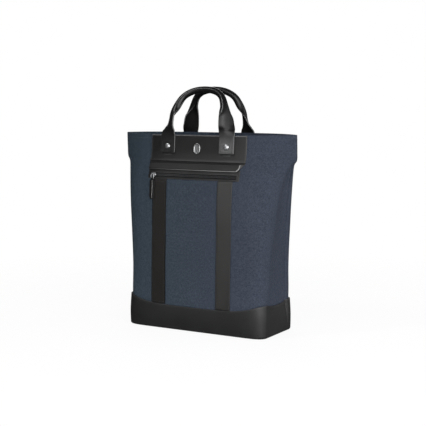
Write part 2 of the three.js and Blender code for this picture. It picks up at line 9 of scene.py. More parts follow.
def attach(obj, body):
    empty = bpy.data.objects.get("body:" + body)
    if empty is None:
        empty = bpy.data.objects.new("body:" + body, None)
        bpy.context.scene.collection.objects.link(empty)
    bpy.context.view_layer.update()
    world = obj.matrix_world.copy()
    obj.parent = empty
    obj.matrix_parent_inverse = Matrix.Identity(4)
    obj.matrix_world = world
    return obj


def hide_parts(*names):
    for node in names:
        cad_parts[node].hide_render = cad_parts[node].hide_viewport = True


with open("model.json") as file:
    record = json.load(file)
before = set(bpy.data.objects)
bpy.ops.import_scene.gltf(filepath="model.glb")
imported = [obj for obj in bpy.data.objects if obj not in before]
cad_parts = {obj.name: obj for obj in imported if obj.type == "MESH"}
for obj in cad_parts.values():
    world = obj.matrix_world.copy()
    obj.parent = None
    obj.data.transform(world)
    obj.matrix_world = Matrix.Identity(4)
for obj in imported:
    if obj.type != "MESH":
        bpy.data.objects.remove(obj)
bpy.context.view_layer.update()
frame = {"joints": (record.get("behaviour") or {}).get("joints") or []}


# Studio: a pale floor that runs out into the white background, a large soft light in front,
# one at the right and one overhead, and the camera at the height of a table.

camera_turn = math.radians(30.5)
camera_distance = 2.150
camera_height = 0.468
aim_height = 0.236
aim_right = 0.007
photo_width = 426
focal_pixels = 1050


class Amount:
    """One socket of a node tree, so that a finish can be written as plain arithmetic."""

    def __init__(self, owner, socket):
        self.owner = owner
        self.socket = socket

    def _math(self, operation, first, second):
        return self.owner.node("ShaderNodeMath", {"operation": operation}, {0: first, 1: second})

    def __add__(self, other):
        return self._math("ADD", self, other)

    def __sub__(self, other):
        return self._math("SUBTRACT", self, other)

    def __rsub__(self, other):
        return self._math("SUBTRACT", other, self)

    def __mul__(self, other):
        return self._math("MULTIPLY", self, other)

    def __truediv__(self, other):
        return self._math("DIVIDE", self, other)

    def __mod__(self, other):
        return self._math("FLOORED_MODULO", self, other)

    def __pow__(self, other):
        return self._math("POWER", self, other)

    def __abs__(self):
        return self._math("ABSOLUTE", self, 0.0)

    def floor(self):
        return self._math("FLOOR", self, 0.0)

    __radd__ = __add__
    __rmul__ = __mul__


class Nodes:
    """A node tree in the making."""

    def __init__(self, tree):
        self.tree = tree

    def node(self, kind, settings=None, inputs=None, output=0):
        made = self.tree.nodes.new(kind)
        for name, value in (settings or {}).items():
            if name == "stops":
                ramp = made.color_ramp.elements
                while len(ramp) < len(value):
                    ramp.new(0.5)
                for stop, (position, grey) in zip(ramp, value):
                    stop.position = position
                    stop.color = (grey, grey, grey, 1)
            else:
                setattr(made, name, value)
        for name, value in (inputs or {}).items():
            if isinstance(value, Amount):
                self.tree.links.new(value.socket, made.inputs[name])
            else:
                made.inputs[name].default_value = value
        return Amount(self, made.outputs[output]) if len(made.outputs) else None


class Finish(Nodes):
    """A material in the making."""

    def __init__(self, name):
        self.material = bpy.data.materials.new(name)
        self.material.use_nodes = True
        super().__init__(self.material.node_tree)
        self.tree.nodes.clear()

    def colour(self, share, first, second):
        settings = {"data_type": "RGBA", "clamp_factor": True}
        values = {0: share}
        for socket, tone in ((6, first), (7, second)):
            values[socket] = tone if isinstance(tone, Amount) else (*tone, 1)
        return self.node("ShaderNodeMix", settings, values, 2)

    def cloud(self, place, scale, detail=2.0, roughness=0.5):
        return self.node("ShaderNodeTexNoise", {}, {
            "Vector": place, "Scale": scale, "Detail": detail, "Roughness": roughness})

    def between(self, value, low, high):
        return self.node("ShaderNodeMapRange", {}, {0: value, 1: low, 2: high})

    def bump(self, height, distance, strength=1.0, below=None):
        inputs = {"Height": height, "Distance": distance, "Strength": strength}
        if below is not None:
            inputs["Normal"] = below
        return self.node("ShaderNodeBump", {}, inputs)

    def surface(self, **sockets):
        inputs = {name.replace("_", " "): value for name, value in sockets.items()}
        skin = self.node("ShaderNodeBsdfPrincipled", {}, inputs)
        self.node("ShaderNodeOutputMaterial", {}, {"Surface": skin})
        return self.material


def studio_floor():
    finish = Finish("studio floor")
    place = finish.node("ShaderNodeTexCoord", output=3)
    reach = finish.node("ShaderNodeVectorMath", {"operation": "LENGTH"}, {0: place}, 1)
    grain = finish.cloud(place, 3.0) * 0.01 + 0.905
    tone = finish.node("ShaderNodeCombineColor", {}, {0: grain, 1: grain, 2: grain})
    paint = finish.node("ShaderNodeBsdfDiffuse", {}, {"Color": tone})
    glow = finish.node("ShaderNodeEmission", {}, {"Color": (1, 1, 1, 1), "Strength": 1.0})
    near = finish.node("ShaderNodeMixShader", {}, {0: 0.90, 1: paint, 2: glow})
    open_air = finish.node("ShaderNodeBsdfTransparent")
    far = finish.between(reach, 0.45, 1.1)
    both = finish.node("ShaderNodeMixShader", {}, {0: far, 1: near, 2: open_air})
    finish.node("ShaderNodeOutputMaterial", {}, {"Surface": both})
    return finish.material


ground = bpy.data.meshes.new("ground")
ring = [(20 * math.cos(a), 20 * math.sin(a), -0.0005) for a in np.linspace(0, 2 * math.pi, 64, False)]
ground.from_pydata(ring, [], [list(range(64))])
ground.materials.append(studio_floor())
floor = bpy.data.objects.new("floor", ground)
bpy.context.scene.collection.objects.link(floor)
floor.visible_glossy = False


def soft_light(name, turn, height, distance, wide, high, power, shines=True):
    """A softbox that points at the middle of the bag. One that doesn't shine only fills in."""
    turn = math.radians(turn)
    lamp = bpy.data.lights.new(name, "AREA")
    lamp.shape = "RECTANGLE"
    lamp.size = wide
    lamp.size_y = high
    lamp.energy = power
    holder = bpy.data.objects.new(name, lamp)
    holder.location = (distance * math.sin(turn), -distance * math.cos(turn), height)
    aim = Vector((0, 0, 0.25)) - holder.location
    holder.rotation_euler = aim.to_track_quat("-Z", "Y").to_euler()
    holder.visible_glossy = shines
    bpy.context.scene.collection.objects.link(holder)


soft_light("front light", 14, 0.76, 2.2, 2.4, 1.44, 31)
soft_light("right light", 57, 0.72, 2.0, 2.2, 1.5, 36)
soft_light("side light", 112, 0.80, 2.2, 2.0, 2.0, 19)
soft_light("back light", 212, 0.90, 2.3, 1.8, 1.6, 14)
soft_light("upper light", -34, 1.95, 1.5, 0.28, 0.28, 12)
soft_light("top light", -150, 2.3, 0.6, 1.0, 1.0, 8, False)

world = bpy.data.worlds.new("white studio")
world.use_nodes = True
sky = Nodes(world.node_tree)
sky.tree.nodes.clear()
seen = sky.node("ShaderNodeLightPath")
white = sky.node("ShaderNodeBackground", {}, {"Color": (1, 1, 1, 1), "Strength": 1.0})
dim = sky.node("ShaderNodeBackground", {}, {"Color": (1, 1, 1, 1), "Strength": 0.20})
dark = sky.node("ShaderNodeBackground", {}, {"Color": (1, 1, 1, 1), "Strength": 0.07})
mirrored = sky.node("ShaderNodeLightPath", output=3)
around = sky.node("ShaderNodeMixShader", {}, {0: mirrored, 1: dim, 2: dark})
shown = sky.node("ShaderNodeMixShader", {}, {0: seen, 1: around, 2: white})
sky.node("ShaderNodeOutputWorld", {}, {"Surface": shown})
bpy.context.scene.world = world
bpy.context.scene.view_settings.view_transform = "Standard"

lens = bpy.data.cameras.new("camera")
lens.sensor_width = 36
lens.lens = focal_pixels * 36 / photo_width
camera = bpy.data.objects.new("camera", lens)
camera.location = (camera_distance * math.sin(camera_turn),
                   -camera_distance * math.cos(camera_turn), camera_height)
aim = Vector((aim_right * math.cos(camera_turn), aim_right * math.sin(camera_turn), aim_height))
camera.rotation_euler = (aim - camera.location).to_track_quat("-Z", "Y").to_euler()
bpy.context.scene.collection.objects.link(camera)
bpy.context.scene.camera = camera


# Fabric body: an open bag of slate blue heather canvas. It is sewn flat at both ends of the rim,
# has a fold down each side and a hem turned in over a dark lining.

rim_height = 0.400
rim_width = 0.398
base_width = 0.314
base_depth = 0.136
side_fold = 0.004
seam_depth = 0.004
rim_forward = 0.0045
rim_tilt = 0.002
tilt_start = 0.75
fabric_wall = 0.002
piece_gap = 0.0003
boot_wall = 0.002
hem_depth = 0.028
canvas_dark = (0.0152, 0.0208, 0.0320)
canvas_light = (0.0725, 0.0840, 0.1125)
# Painted shade: the cloth is multiplied by this towards the bag's left, darker and cooler.
left_shade_tint = (0.75, 0.88, 0.83)
lining_tone = (0.010, 0.013, 0.021)

# up is a share of the rim's height, wide the way from the base's width to the rim's, and
# depth and edge shares of half the base's depth at a panel's middle and at its side edges.
# flat and bow are the powers of a panel's curve. fold, seam and lean are shares of the
# side fold, the seam's depth and the rim's way forward.
section_columns = ("up", "wide", "depth", "edge", "flat", "bow", "fold", "seam", "lean")
body_sections = [dict(zip(section_columns, row)) for row in (
    (0.000, 0.03, 0.985, 0.700, 15.0, 0.50, 0.00, 0.00, 0.0),
    (0.080, 0.01, 1.000, 0.700, 14.0, 0.50, 0.15, 0.30, 0.0),
    (0.160, 0.00, 1.015, 0.680, 12.0, 0.50, 0.35, 1.00, 0.0),
    (0.225, 0.05, 1.015, 0.620, 9.0, 0.50, 0.40, 0.70, 0.0),
    (0.330, 0.07, 1.020, 0.570, 7.5, 0.50, 0.45, 0.60, 0.0),
    (0.500, 0.20, 1.020, 0.490, 6.0, 0.50, 0.60, 0.60, 0.0),
    (0.625, 0.32, 1.010, 0.410, 5.0, 0.50, 0.80, 0.80, 0.1),
    (0.750, 0.48, 0.975, 0.310, 4.5, 0.55, 1.00, 1.00, 0.2),
    (0.812, 0.63, 0.870, 0.220, 4.2, 0.65, 1.00, 1.00, 0.4),
    (0.852, 0.79, 0.770, 0.120, 4.2, 0.80, 0.70, 0.70, 0.5),
    (0.874, 0.98, 0.715, 0.045, 4.2, 0.95, 0.00, 0.00, 0.6),
    (0.912, 1.00, 0.650, 0.045, 4.4, 1.00, 0.00, 0.00, 0.7),
    (1.000, 1.00, 0.590, 0.045, 4.5, 1.00, 0.00, 0.00, 1.0))]


def along(table, key, column, at):
    """A table's column at places along its key column, on a smooth curve through the rows."""
    keys = np.array([row[key] for row in table], float)
    values = np.array([row[column] for row in table], float)
    before = np.maximum(np.arange(len(keys)) - 1, 0)
    after = np.minimum(np.arange(len(keys)) + 1, len(keys) - 1)
    slopes = (values[after] - values[before]) / (keys[after] - keys[before])
    at = np.clip(at, keys[0], keys[-1])
    i = np.clip(np.searchsorted(keys, at, side="right") - 1, 0, len(keys) - 2)
    span = keys[i + 1] - keys[i]
    t = (at - keys[i]) / span
    ease = t * t * (3 - 2 * t)
    return (values[i] + (values[i + 1] - values[i]) * ease
            + span * (slopes[i] * t * (1 - t) ** 2 - slopes[i + 1] * t ** 2 * (1 - t)))


def section_at(z):
    def value(column):
        return along(body_sections, "up", column, z / rim_height)
    return {
        "half_width": (base_width + (rim_width - base_width) * value("wide")) / 2,
        "half_depth": base_depth / 2 * value("depth"),
        "edge": base_depth / 2 * value("edge"),
        "flat": value("flat"),
        "bow": value("bow"),
        "fold": side_fold * value("fold"),
        "seam": seam_depth * value("seam"),
        "forward": rim_forward * value("lean"),
    }


def panel_reach(section, across):
    bulge = (1 - np.minimum(np.abs(across), 1) ** section["flat"]) ** section["bow"]
    return section["edge"] + (section["half_depth"] - section["edge"]) * bulge


seam_place = 0.25
seam_reach = 0.1


def body_point(place, z, right, front, lift):
    """Points of the body. place runs from 0 at the middle of a panel over 1 at its edge to 2 at
    the middle of the side. right and front are 1 or -1, and lift moves outwards."""
    section = section_at(z)
    across = np.sin(np.minimum(place, 1) * math.pi / 2)
    folded = np.maximum(place - 1, 0)
    crease = np.maximum(1 - np.abs(folded - seam_place) / seam_reach, 0)
    pinched = np.where(front < 0, section["seam"] * crease ** 1.3, 0)
    x = right * ((section["half_width"] + lift) * across
                 - section["fold"] * folded * (2 - folded) - pinched)
    reach = (panel_reach(section, across) + lift) * (1 - folded)
    y = -section["forward"] - front * reach
    tilt = rim_tilt * np.maximum(z / rim_height - tilt_start, 0) / (1 - tilt_start)
    return np.stack([x, y, z + tilt * y / (base_depth / 2)], axis=-1)


# The places round the outline, anticlockwise from the middle of the front, and the place
# where the side seam parts the cloth of the front from that of the back.
panel_places = np.concatenate([np.linspace(0, 0.6, 17), np.linspace(0.6, 1, 27)[1:]])
side_places = 1 + np.array([0.06, 0.11, 0.15, 0.19, 0.22, 0.235, 0.25, 0.265, 0.28, 0.31, 0.35,
                            0.41, 0.5, 0.6, 0.7, 0.8, 0.9])
quarter = np.concatenate([panel_places, side_places])
back_quarter = np.concatenate([[2.0], quarter[:0:-1]])
outline = np.concatenate([quarter, back_quarter, quarter, back_quarter])
outline_right = np.repeat([1, 1, -1, -1], len(quarter))
outline_front = np.repeat([1, -1, -1, 1], len(quarter))


def level_ring(z, lift):
    height = np.full(len(outline), float(z))
    return body_point(outline, height, outline_right, outline_front, lift)


def outward(grid):
    """Unit normals of a closed grid of rings that run anticlockwise and upwards."""
    around = np.roll(grid, -1, axis=1) - np.roll(grid, 1, axis=1)
    upward = np.gradient(grid, axis=0)
    normal = np.cross(around, upward)
    return normal / np.linalg.norm(normal, axis=2, keepdims=True)


def waves(points, scale, seed, stretch=(1, 1, 1)):
    """Smooth noise from -1 to 1 at each point, slower along an axis with a small stretch."""
    shift = Vector((seed * 3.1, seed * 1.7, seed * 2.3))
    flat = (points * np.array(stretch) * scale).reshape(-1, 3)
    return np.array([noise.noise(Vector(p) + shift) for p in flat]).reshape(points.shape[:-1])


def make_piece(name, points, faces, materials, uv=None, marks=None, face_material=None):
    """A mesh object with a cloth UV map in metres and named marks at its points."""
    mesh = bpy.data.meshes.new(name)
    mesh.from_pydata(points.tolist(), [], faces)
    for material in materials:
        mesh.materials.append(material)
    if uv is not None:
        layer = mesh.uv_layers.new(name="cloth")
        layer.data.foreach_set("uv", np.asarray(uv, np.float32).ravel())
    for mark, values in (marks or {}).items():
        layer = mesh.attributes.new(mark, "FLOAT", "POINT")
        layer.data.foreach_set("value", np.asarray(values, np.float32).ravel())
    if face_material is not None:
        mesh.polygons.foreach_set("material_index", np.asarray(face_material, np.int32))
    mesh.polygons.foreach_set("use_smooth", [True] * len(mesh.polygons))
    mesh.update()
    piece = bpy.data.objects.new(name, mesh)
    bpy.context.scene.collection.objects.link(piece)
    return piece


def loft(name, rings, materials, origins=None, marks=None, row_material=None, column_material=None):
    """A closed skin over rings of equal length, with both ends capped. Its cloth UV counts the
    way round each ring from the ring's origin, and the way from ring to ring."""
    grid = np.asarray(rings, float)
    rows, columns = grid.shape[:2]
    index = np.arange(rows * columns).reshape(rows, columns)
    after = np.roll(index, -1, axis=1)
    quads = np.stack([index[:-1], after[:-1], after[1:], index[1:]], axis=-1).reshape(-1, 4)
    steps = np.linalg.norm(np.roll(grid, -1, axis=1) - grid, axis=2)
    around = np.concatenate([np.zeros((rows, 1)), np.cumsum(steps, axis=1)], axis=1)
    climb = np.linalg.norm(np.diff(grid, axis=0), axis=2).mean(axis=1)
    upward = np.concatenate([[0], np.cumsum(climb)])
    start = np.zeros(columns, int) if origins is None else origins
    u = np.stack([around[:-1, :-1], around[:-1, 1:], around[1:, 1:], around[1:, :-1]], axis=-1)
    zero = np.stack([around[:-1][:, start], around[:-1][:, start],
                     around[1:][:, start], around[1:][:, start]], axis=-1)
    v = np.stack([upward[:-1], upward[:-1], upward[1:], upward[1:]], axis=-1)
    uv = np.stack([u - zero, np.broadcast_to(v[:, None, :], u.shape)], axis=-1).reshape(-1, 2)
    ends = [index[0][::-1].tolist(), index[-1].tolist()]
    end_uv = np.concatenate([grid[0][::-1, :2], grid[-1][:, :2]])
    faces = quads.tolist() + ends
    uv = np.concatenate([uv, end_uv])
    flat = grid.reshape(-1, 3)
    corners = flat[quads]
    volume = np.einsum("ij,ij->i", corners[:, 0], np.cross(corners[:, 1], corners[:, 2])).sum()
    volume += np.einsum("ij,ij->i", corners[:, 0], np.cross(corners[:, 2], corners[:, 3])).sum()
    if volume < 0:
        sizes = [len(face) for face in faces]
        faces = [face[::-1] for face in faces]
        uv = np.concatenate([part[::-1] for part in np.split(uv, np.cumsum(sizes)[:-1])])
    face_material = None
    if row_material is not None:
        face_material = np.concatenate([np.repeat(row_material, columns), [row_material[0], row_material[-1]]])
    if column_material is not None:
        face_material = np.concatenate([np.tile(column_material, rows - 1), [0, 0]])
    return make_piece(name, flat, faces, materials, uv, marks, face_material)


def canvas(name, dark, light, thread=0.00062, slub=1.0, soft=0.9):
    """Plain weave of two heathered yarns, with the threads counted on the cloth UV map, painted
    shade in the weave's hollows and painted shade, darker and cooler, towards the bag's left.
    """
    finish = Finish(name)
    place = finish.node("ShaderNodeUVMap", {"uv_map": "cloth"})
    u = finish.node("ShaderNodeSeparateXYZ", {}, {0: place}, 0) / thread
    v = finish.node("ShaderNodeSeparateXYZ", {}, {0: place}, 1) / thread
    warp, weft = u.floor(), v.floor()
    over = (warp + weft) % 2.0
    warp_side = abs((u % 1.0) * 2.0 - 1.0)
    weft_side = abs((v % 1.0) * 2.0 - 1.0)
    warp_round = 1.0 - warp_side * warp_side
    weft_round = 1.0 - weft_side * weft_side
    height = over * warp_round + (1.0 - over) * weft_round
    stretched = finish.node("ShaderNodeMapping", {}, {0: place, 3: (900, 160, 1)})
    laid = finish.node("ShaderNodeMapping", {}, {0: place, 3: (160, 900, 1)})
    warp_tone = finish.cloud(stretched, 1.0, 3.0, 0.6)
    weft_tone = finish.cloud(laid, 1.0, 3.0, 0.6)
    warp_dye = finish.node("ShaderNodeTexWhiteNoise", {"noise_dimensions": "1D"}, {"W": warp})
    weft_dye = finish.node("ShaderNodeTexWhiteNoise", {"noise_dimensions": "1D"}, {"W": weft + 91.0})
    body_place = finish.node("ShaderNodeTexCoord", output=3)
    fleck = finish.between(finish.cloud(body_place, 330.0, 3.0, 0.6), 0.35, 0.65) * 0.30 - 0.15
    warp_share = warp_tone * 0.8 + warp_dye * 0.12 + fleck - 0.13
    weft_share = weft_tone * 0.8 + weft_dye * 0.12 + fleck + 0.15
    tone = over * warp_share + (1.0 - over) * weft_share
    patch = finish.cloud(body_place, 9.0, 4.0, 0.55)
    yarn = finish.colour(tone * slub, dark, light)
    # Painted shade: the yarn is darker down in the weave's hollows.
    hollow_shaded_yarn = finish.colour(height * 0.65 + 0.35, tuple(0.45 * c for c in dark), yarn)
    shade = finish.between(patch, 0.3, 0.7) * 0.14 + 0.93
    grey = finish.node("ShaderNodeCombineColor", {}, {0: shade, 1: shade, 2: shade})
    # Painted shade: darker and cooler from the middle out to the left end.
    right = finish.node("ShaderNodeSeparateXYZ", {}, {0: body_place}, 0)
    left_painted_shade = finish.colour(finish.between(right, -0.17, 0.13), left_shade_tint, grey)
    cloth = finish.node("ShaderNodeMix", {"data_type": "RGBA", "blend_type": "MULTIPLY"},
                        {0: 1.0, 6: hollow_shaded_yarn, 7: left_painted_shade}, 2)
    hairs = finish.cloud(body_place, 2600.0, 2.0)
    weave = finish.bump(height + hairs * 0.5, 0.00016, 0.8)
    return finish.surface(
        Base_Color=cloth, Roughness=finish.between(hairs, 0.2, 0.8) * 0.12 + (soft - 0.08),
        Normal=weave, Specular_IOR_Level=0.07)


front_cloth = canvas("slate heather canvas", canvas_dark, canvas_light)
dark_lining = canvas("dark lining twill", lining_tone, tuple(2.2 * c for c in lining_tone), 0.0004)

quarter_count = len(quarter)
back_seam = int(np.argmin(np.abs(back_quarter - (1 + seam_place))))
right_seam = quarter_count + back_seam
left_seam = 3 * quarter_count - back_seam
cloth_origins = np.zeros(4 * quarter_count, int)
cloth_origins[right_seam:left_seam] = 2 * quarter_count
cloth_origins[left_seam:] = 4 * quarter_count


def cloth_swell(points):
    """Soft hollows and swells of the standing cloth, quiet where the boot and the yoke hold it."""
    x, z = points[..., 0], points[..., 2]
    held = np.clip((z - 0.07) / 0.05, 0, 1) * np.clip((0.36 - z) / 0.05, 0.25, 1)
    swell = waves(points, 9, 4, (1, 1, 0.6)) * 0.0011 + waves(points, 26, 7, (1, 1, 0.5)) * 0.0004
    side = np.clip((np.abs(x) - 0.12) / 0.05, 0, 1)
    return held * (swell + side * waves(points, 40, 9, (1, 1, 0.35)) * 0.0005)


def fabric_body():
    """The outer cloth up to the rounded rim, and the same again 2 mm inside it."""
    floor_height = boot_wall + piece_gap
    heights = np.concatenate([
        np.linspace(floor_height, 0.80 * rim_height, 76),
        np.linspace(0.81 * rim_height, 0.90 * rim_height, 26),
        np.linspace(0.91 * rim_height, rim_height - fabric_wall / 2, 20)])
    outer = np.stack([level_ring(z, 0) for z in heights])
    skin = outward(outer)
    outer = outer + skin * cloth_swell(outer)[..., None]
    inner = outer - skin * fabric_wall
    inner[0] = level_ring(floor_height, -fabric_wall) + [0, 0, fabric_wall]
    bend = [outer[-1] + skin[-1] * (fabric_wall / 2 * (math.cos(a) - 1))
            + np.array([0, 0, fabric_wall / 2 * math.sin(a)]) for a in (0.8, math.pi / 2, 2.34)]
    rings = np.concatenate([outer, bend, inner[::-1]])
    inside = np.arange(len(rings) - 1) >= len(outer) + 2
    below_hem = rings[:-1, 0, 2] < rim_height - hem_depth
    piece = loft("canvas_body", rings, [front_cloth, dark_lining], cloth_origins,
                 row_material=(inside & below_hem).astype(int))
    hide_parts("fabric_body")
    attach(piece, "bag")


fabric_body()


# Base boot: a cup of smooth black leather that the canvas stands in. It is higher at its
# corners, its upper edge is skived round and it is sewn on along that edge.

boot_front_height = 0.050
boot_corner_height = 0.066
boot_side_height = 0.060
boot_rounding = 0.004
leather_black = (0.0045, 0.0045, 0.0047)
leather_worn = (0.020, 0.020, 0.021)
boot_edge = [dict(across=a, rise=r) for a, r in (
    (0.00, 0.00), (0.45, 0.06), (0.70, 0.28), (0.85, 0.62), (0.95, 0.94), (1.00, 1.00))]


def boot_top(place):
    folded = np.maximum(place - 1, 0)
    across = np.sin(np.minimum(place, 1) * math.pi / 2)
    rise = along(boot_edge, "across", "rise", across)
    front = boot_front_height + (boot_corner_height - boot_front_height) * rise
    return front + (boot_side_height - boot_corner_height) * folded * (2 - folded)


def smooth_leather(name, tone, wear_and_highlight, grain=0.9, gloss=0.40, shine=0.7):
    """Finished calf leather: fine pores, faint creases, and lighter edges, as wear on some
    pieces and as painted highlight on others, and painted shade where the edge mark is negative.
    """
    finish = Finish(name)
    place = finish.node("ShaderNodeTexCoord", output=3)
    pores = finish.node("ShaderNodeTexVoronoi", {"feature": "SMOOTH_F1"},
                        {"Vector": place, "Scale": 1500.0, "Smoothness": 0.6})
    creases = finish.cloud(place, 260.0, 5.0, 0.65)
    patch = finish.cloud(place, 22.0, 3.0, 0.6)
    edge = finish.node("ShaderNodeAttribute", {"attribute_name": "edge"}, output=2)
    # A positive edge mark lightens: wear on the boot and the puller, painted highlight on the yoke's lip and the
    # front tabs, wear and painted highlight together on the other yoke, band and handle edges.
    wear_and_highlight_mask = finish.between(edge, 0.0, 1.0) * (0.35 + patch * 0.9)
    # A negative edge mark is painted shade, darker and rougher: in the yoke's groove, on the flap's face and on
    # the front handle's right leg.
    crease = finish.between(edge, 0.0, -1.0)
    skin = finish.colour(finish.between(patch, 0.25, 0.8) * 0.35 + creases * 0.15, tone,
                         tuple(1.9 * c for c in tone))
    skin = finish.colour(wear_and_highlight_mask, skin, wear_and_highlight)
    skin = finish.colour(crease, skin, tuple(0.3 * c for c in tone))
    relief = finish.bump(pores, 0.00009 * grain, 0.55)
    relief = finish.bump(creases, 0.00022 * grain, 0.5, relief)
    rough = gloss + finish.between(patch, 0.2, 0.8) * 0.10 + creases * 0.06 + wear_and_highlight_mask * 0.1 + crease * 0.35
    return finish.surface(Base_Color=skin, Roughness=rough, Normal=relief, Specular_IOR_Level=shine)


boot_leather = smooth_leather("boot leather", leather_black, leather_worn, 0.8, 0.42, 0.62)


def base_boot():
    outside = piece_gap + boot_wall
    top = boot_top(outline)
    dents = waves(np.stack([level_ring(z, outside) for z in np.linspace(0.004, 0.06, 24)]), 22, 12)

    def cup_ring(share, lift):
        height = boot_wall + (top - boot_wall) * share
        return body_point(outline, height, outline_right, outline_front, lift)

    rings, edges = [], []
    for share in np.linspace(0, 1, 8):
        angle = share * math.pi / 2
        inset = boot_rounding * (1 - math.sin(angle))
        rings.append(level_ring(boot_rounding * (1 - math.cos(angle)), outside - inset))
        edges.append(0.5 * share * (1 - share) * 4)
    lowest = (boot_rounding - boot_wall) / (top - boot_wall)
    shares = np.linspace(0, 1, 26)[1:]
    for share in shares:
        at = lowest + (0.975 - lowest) * share
        ring = cup_ring(at, outside)
        swell = 0.0009 * math.sin(share * math.pi)
        wave = dents[int(share * 23)] * 0.0008 * math.sin(share * math.pi)
        sideways = ring - cup_ring(at, outside - 0.001)
        rings.append(ring + sideways / 0.001 * (swell + wave)[:, None])
        edges.append(0.3 if share > 0.99 else 0.0)
    for angle in (0.5, 1.0, 1.57, 2.2, 2.8):
        lift = outside - boot_wall / 2 * (1 - math.cos(angle))
        rings.append(cup_ring(1.0, lift) - [0, 0, boot_wall / 2 * (1 - math.sin(angle)) * 0.8])
        edges.append(0.3)
    for share in (0.9, 0.6, 0.3, 0):
        rings.append(cup_ring(share, piece_gap))
        edges.append(0)
    marks = np.repeat(np.array(edges, float), len(outline))
    piece = loft("leather_boot", rings, [boot_leather], marks={"edge": marks})
    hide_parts("base_boot")
    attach(piece, "bag")


base_boot()


# Stitches: every seam of the bag is sewn with a waxed thread. The stitches lie end to end
# along the seam, half sunk in what they hold.

thread_pitch = 0.0031
thread_length = 0.0025
thread_width = 0.0006


def stitch_tree():
    tree = bpy.data.node_groups.new("stitches along a seam", "GeometryNodeTree")
    sockets = {}
    for name, kind in (("Seam", "NodeSocketGeometry"), ("Pitch", "NodeSocketFloat"),
                       ("Size", "NodeSocketVector"), ("Thread", "NodeSocketMaterial")):
        sockets[name] = tree.interface.new_socket(name, in_out="INPUT", socket_type=kind)
    tree.interface.new_socket("Stitches", in_out="OUTPUT", socket_type="NodeSocketGeometry")
    nodes = Nodes(tree)
    entry = tree.nodes.new("NodeGroupInput")
    given = {socket.name: Amount(nodes, socket) for socket in entry.outputs if socket.name}
    path = nodes.node("GeometryNodeMeshToCurve", {}, {"Mesh": given["Seam"]})
    path = nodes.node("GeometryNodeSetCurveNormal", {"mode": "Z_UP"}, {"Curve": path})
    spots = tree.nodes.new("GeometryNodeCurveToPoints")
    spots.mode = "LENGTH"
    tree.links.new(path.socket, spots.inputs["Curve"])
    tree.links.new(given["Pitch"].socket, spots.inputs["Length"])
    grain = nodes.node("GeometryNodeMeshUVSphere", {}, {"Segments": 6, "Rings": 5, "Radius": 0.5})
    grain = nodes.node("GeometryNodeTransform", {}, {"Geometry": grain, "Scale": given["Size"]})
    sewn = nodes.node("GeometryNodeInstanceOnPoints", {}, {
        "Points": Amount(nodes, spots.outputs["Points"]), "Instance": grain,
        "Rotation": Amount(nodes, spots.outputs["Rotation"])})
    sewn = nodes.node("GeometryNodeRealizeInstances", {}, {"Geometry": sewn})
    sewn = nodes.node("GeometryNodeSetShadeSmooth", {}, {0: sewn})
    sewn = nodes.node("GeometryNodeSetMaterial", {}, {"Geometry": sewn, "Material": given["Thread"]})
    nodes.node("NodeGroupOutput", {}, {0: sewn})
    return tree, {name: socket.identifier for name, socket in sockets.items()}


sewing, sewing_inputs = stitch_tree()


def waxed_thread(name, tone):
    finish = Finish(name)
    place = finish.node("ShaderNodeTexCoord", output=3)
    twist = finish.cloud(place, 2400.0, 2.0)
    patch = finish.cloud(place, 60.0, 2.0)
    yarn = finish.colour(twist * 0.6 + patch * 0.4, tuple(0.55 * c for c in tone),
                         tuple(1.4 * c for c in tone))
    return finish.surface(Base_Color=yarn, Roughness=twist * 0.2 + 0.5,
                          Normal=finish.bump(twist, 0.0001, 0.6))


def stitches(name, seams, thread, body="bag", size=(thread_width, thread_width, thread_length),
             pitch=thread_pitch):
    """Stitches along one or more seams, each a list of points on the face that it holds."""
    points, edges = [], []
    for seam in seams:
        first = len(points)
        points += [tuple(p) for p in seam]
        edges += [(i, i + 1) for i in range(first, len(points) - 1)]
    mesh = bpy.data.meshes.new(name + "_seam")
    mesh.from_pydata(points, edges, [])
    seam = bpy.data.objects.new(name + "_seam", mesh)
    bpy.context.scene.collection.objects.link(seam)
    modifier = seam.modifiers.new("stitches", "NODES")
    modifier.node_group = sewing
    modifier[sewing_inputs["Pitch"]] = pitch
    modifier[sewing_inputs["Size"]] = size
    modifier[sewing_inputs["Thread"]] = thread
    sewn = seam.evaluated_get(bpy.context.evaluated_depsgraph_get())
    piece = bpy.data.objects.new(name, bpy.data.meshes.new_from_object(sewn))
    bpy.data.objects.remove(seam)
    bpy.context.scene.collection.objects.link(piece)
    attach(piece, body)
    return piece


blue_thread = waxed_thread("slate thread", (0.030, 0.040, 0.058))
black_thread = waxed_thread("black thread", (0.018, 0.018, 0.019))

seam_lift = piece_gap + boot_wall + 0.0001
seam_ring = body_point(outline, boot_top(outline) - 0.0042, outline_right, outline_front, seam_lift)
stitches("boot_stitches", [np.concatenate([seam_ring, seam_ring[:1]])], black_thread)
hem_ring = level_ring(rim_height - 0.009, 0.0001)
stitches("hem_stitches", [np.concatenate([hem_ring, hem_ring[:1]])], blue_thread)


def end_seam(right):
    """The seam that sews the wing at one end of the rim flat, a little in from its edge."""
    heights = np.linspace(0.352, rim_height - 0.003, 24)
    count = len(heights)
    place = np.full(count, 0.865)
    ring = body_point(place, heights, np.full(count, right), np.full(count, 1), 0.0001)
    back = body_point(place, heights, np.full(count, right), np.full(count, -1), 0.0001)
    return [ring, back]


stitches("wing_stitches", end_seam(1) + end_seam(-1), blue_thread)


# Front straps: two flat webbing straps sewn down the front panel, with a bound selvedge at each
# edge. Their tops go under the zip's band and their feet into the boot.

strap_width = 0.033
strap_spacing = 0.152
strap_wall = 0.0018
strap_lean = 0.004
band_drop = 0.0915
rib_pitch = 0.0011
webbing_dark = (0.0032, 0.0031, 0.0030)
webbing_light = (0.0170, 0.0156, 0.0146)


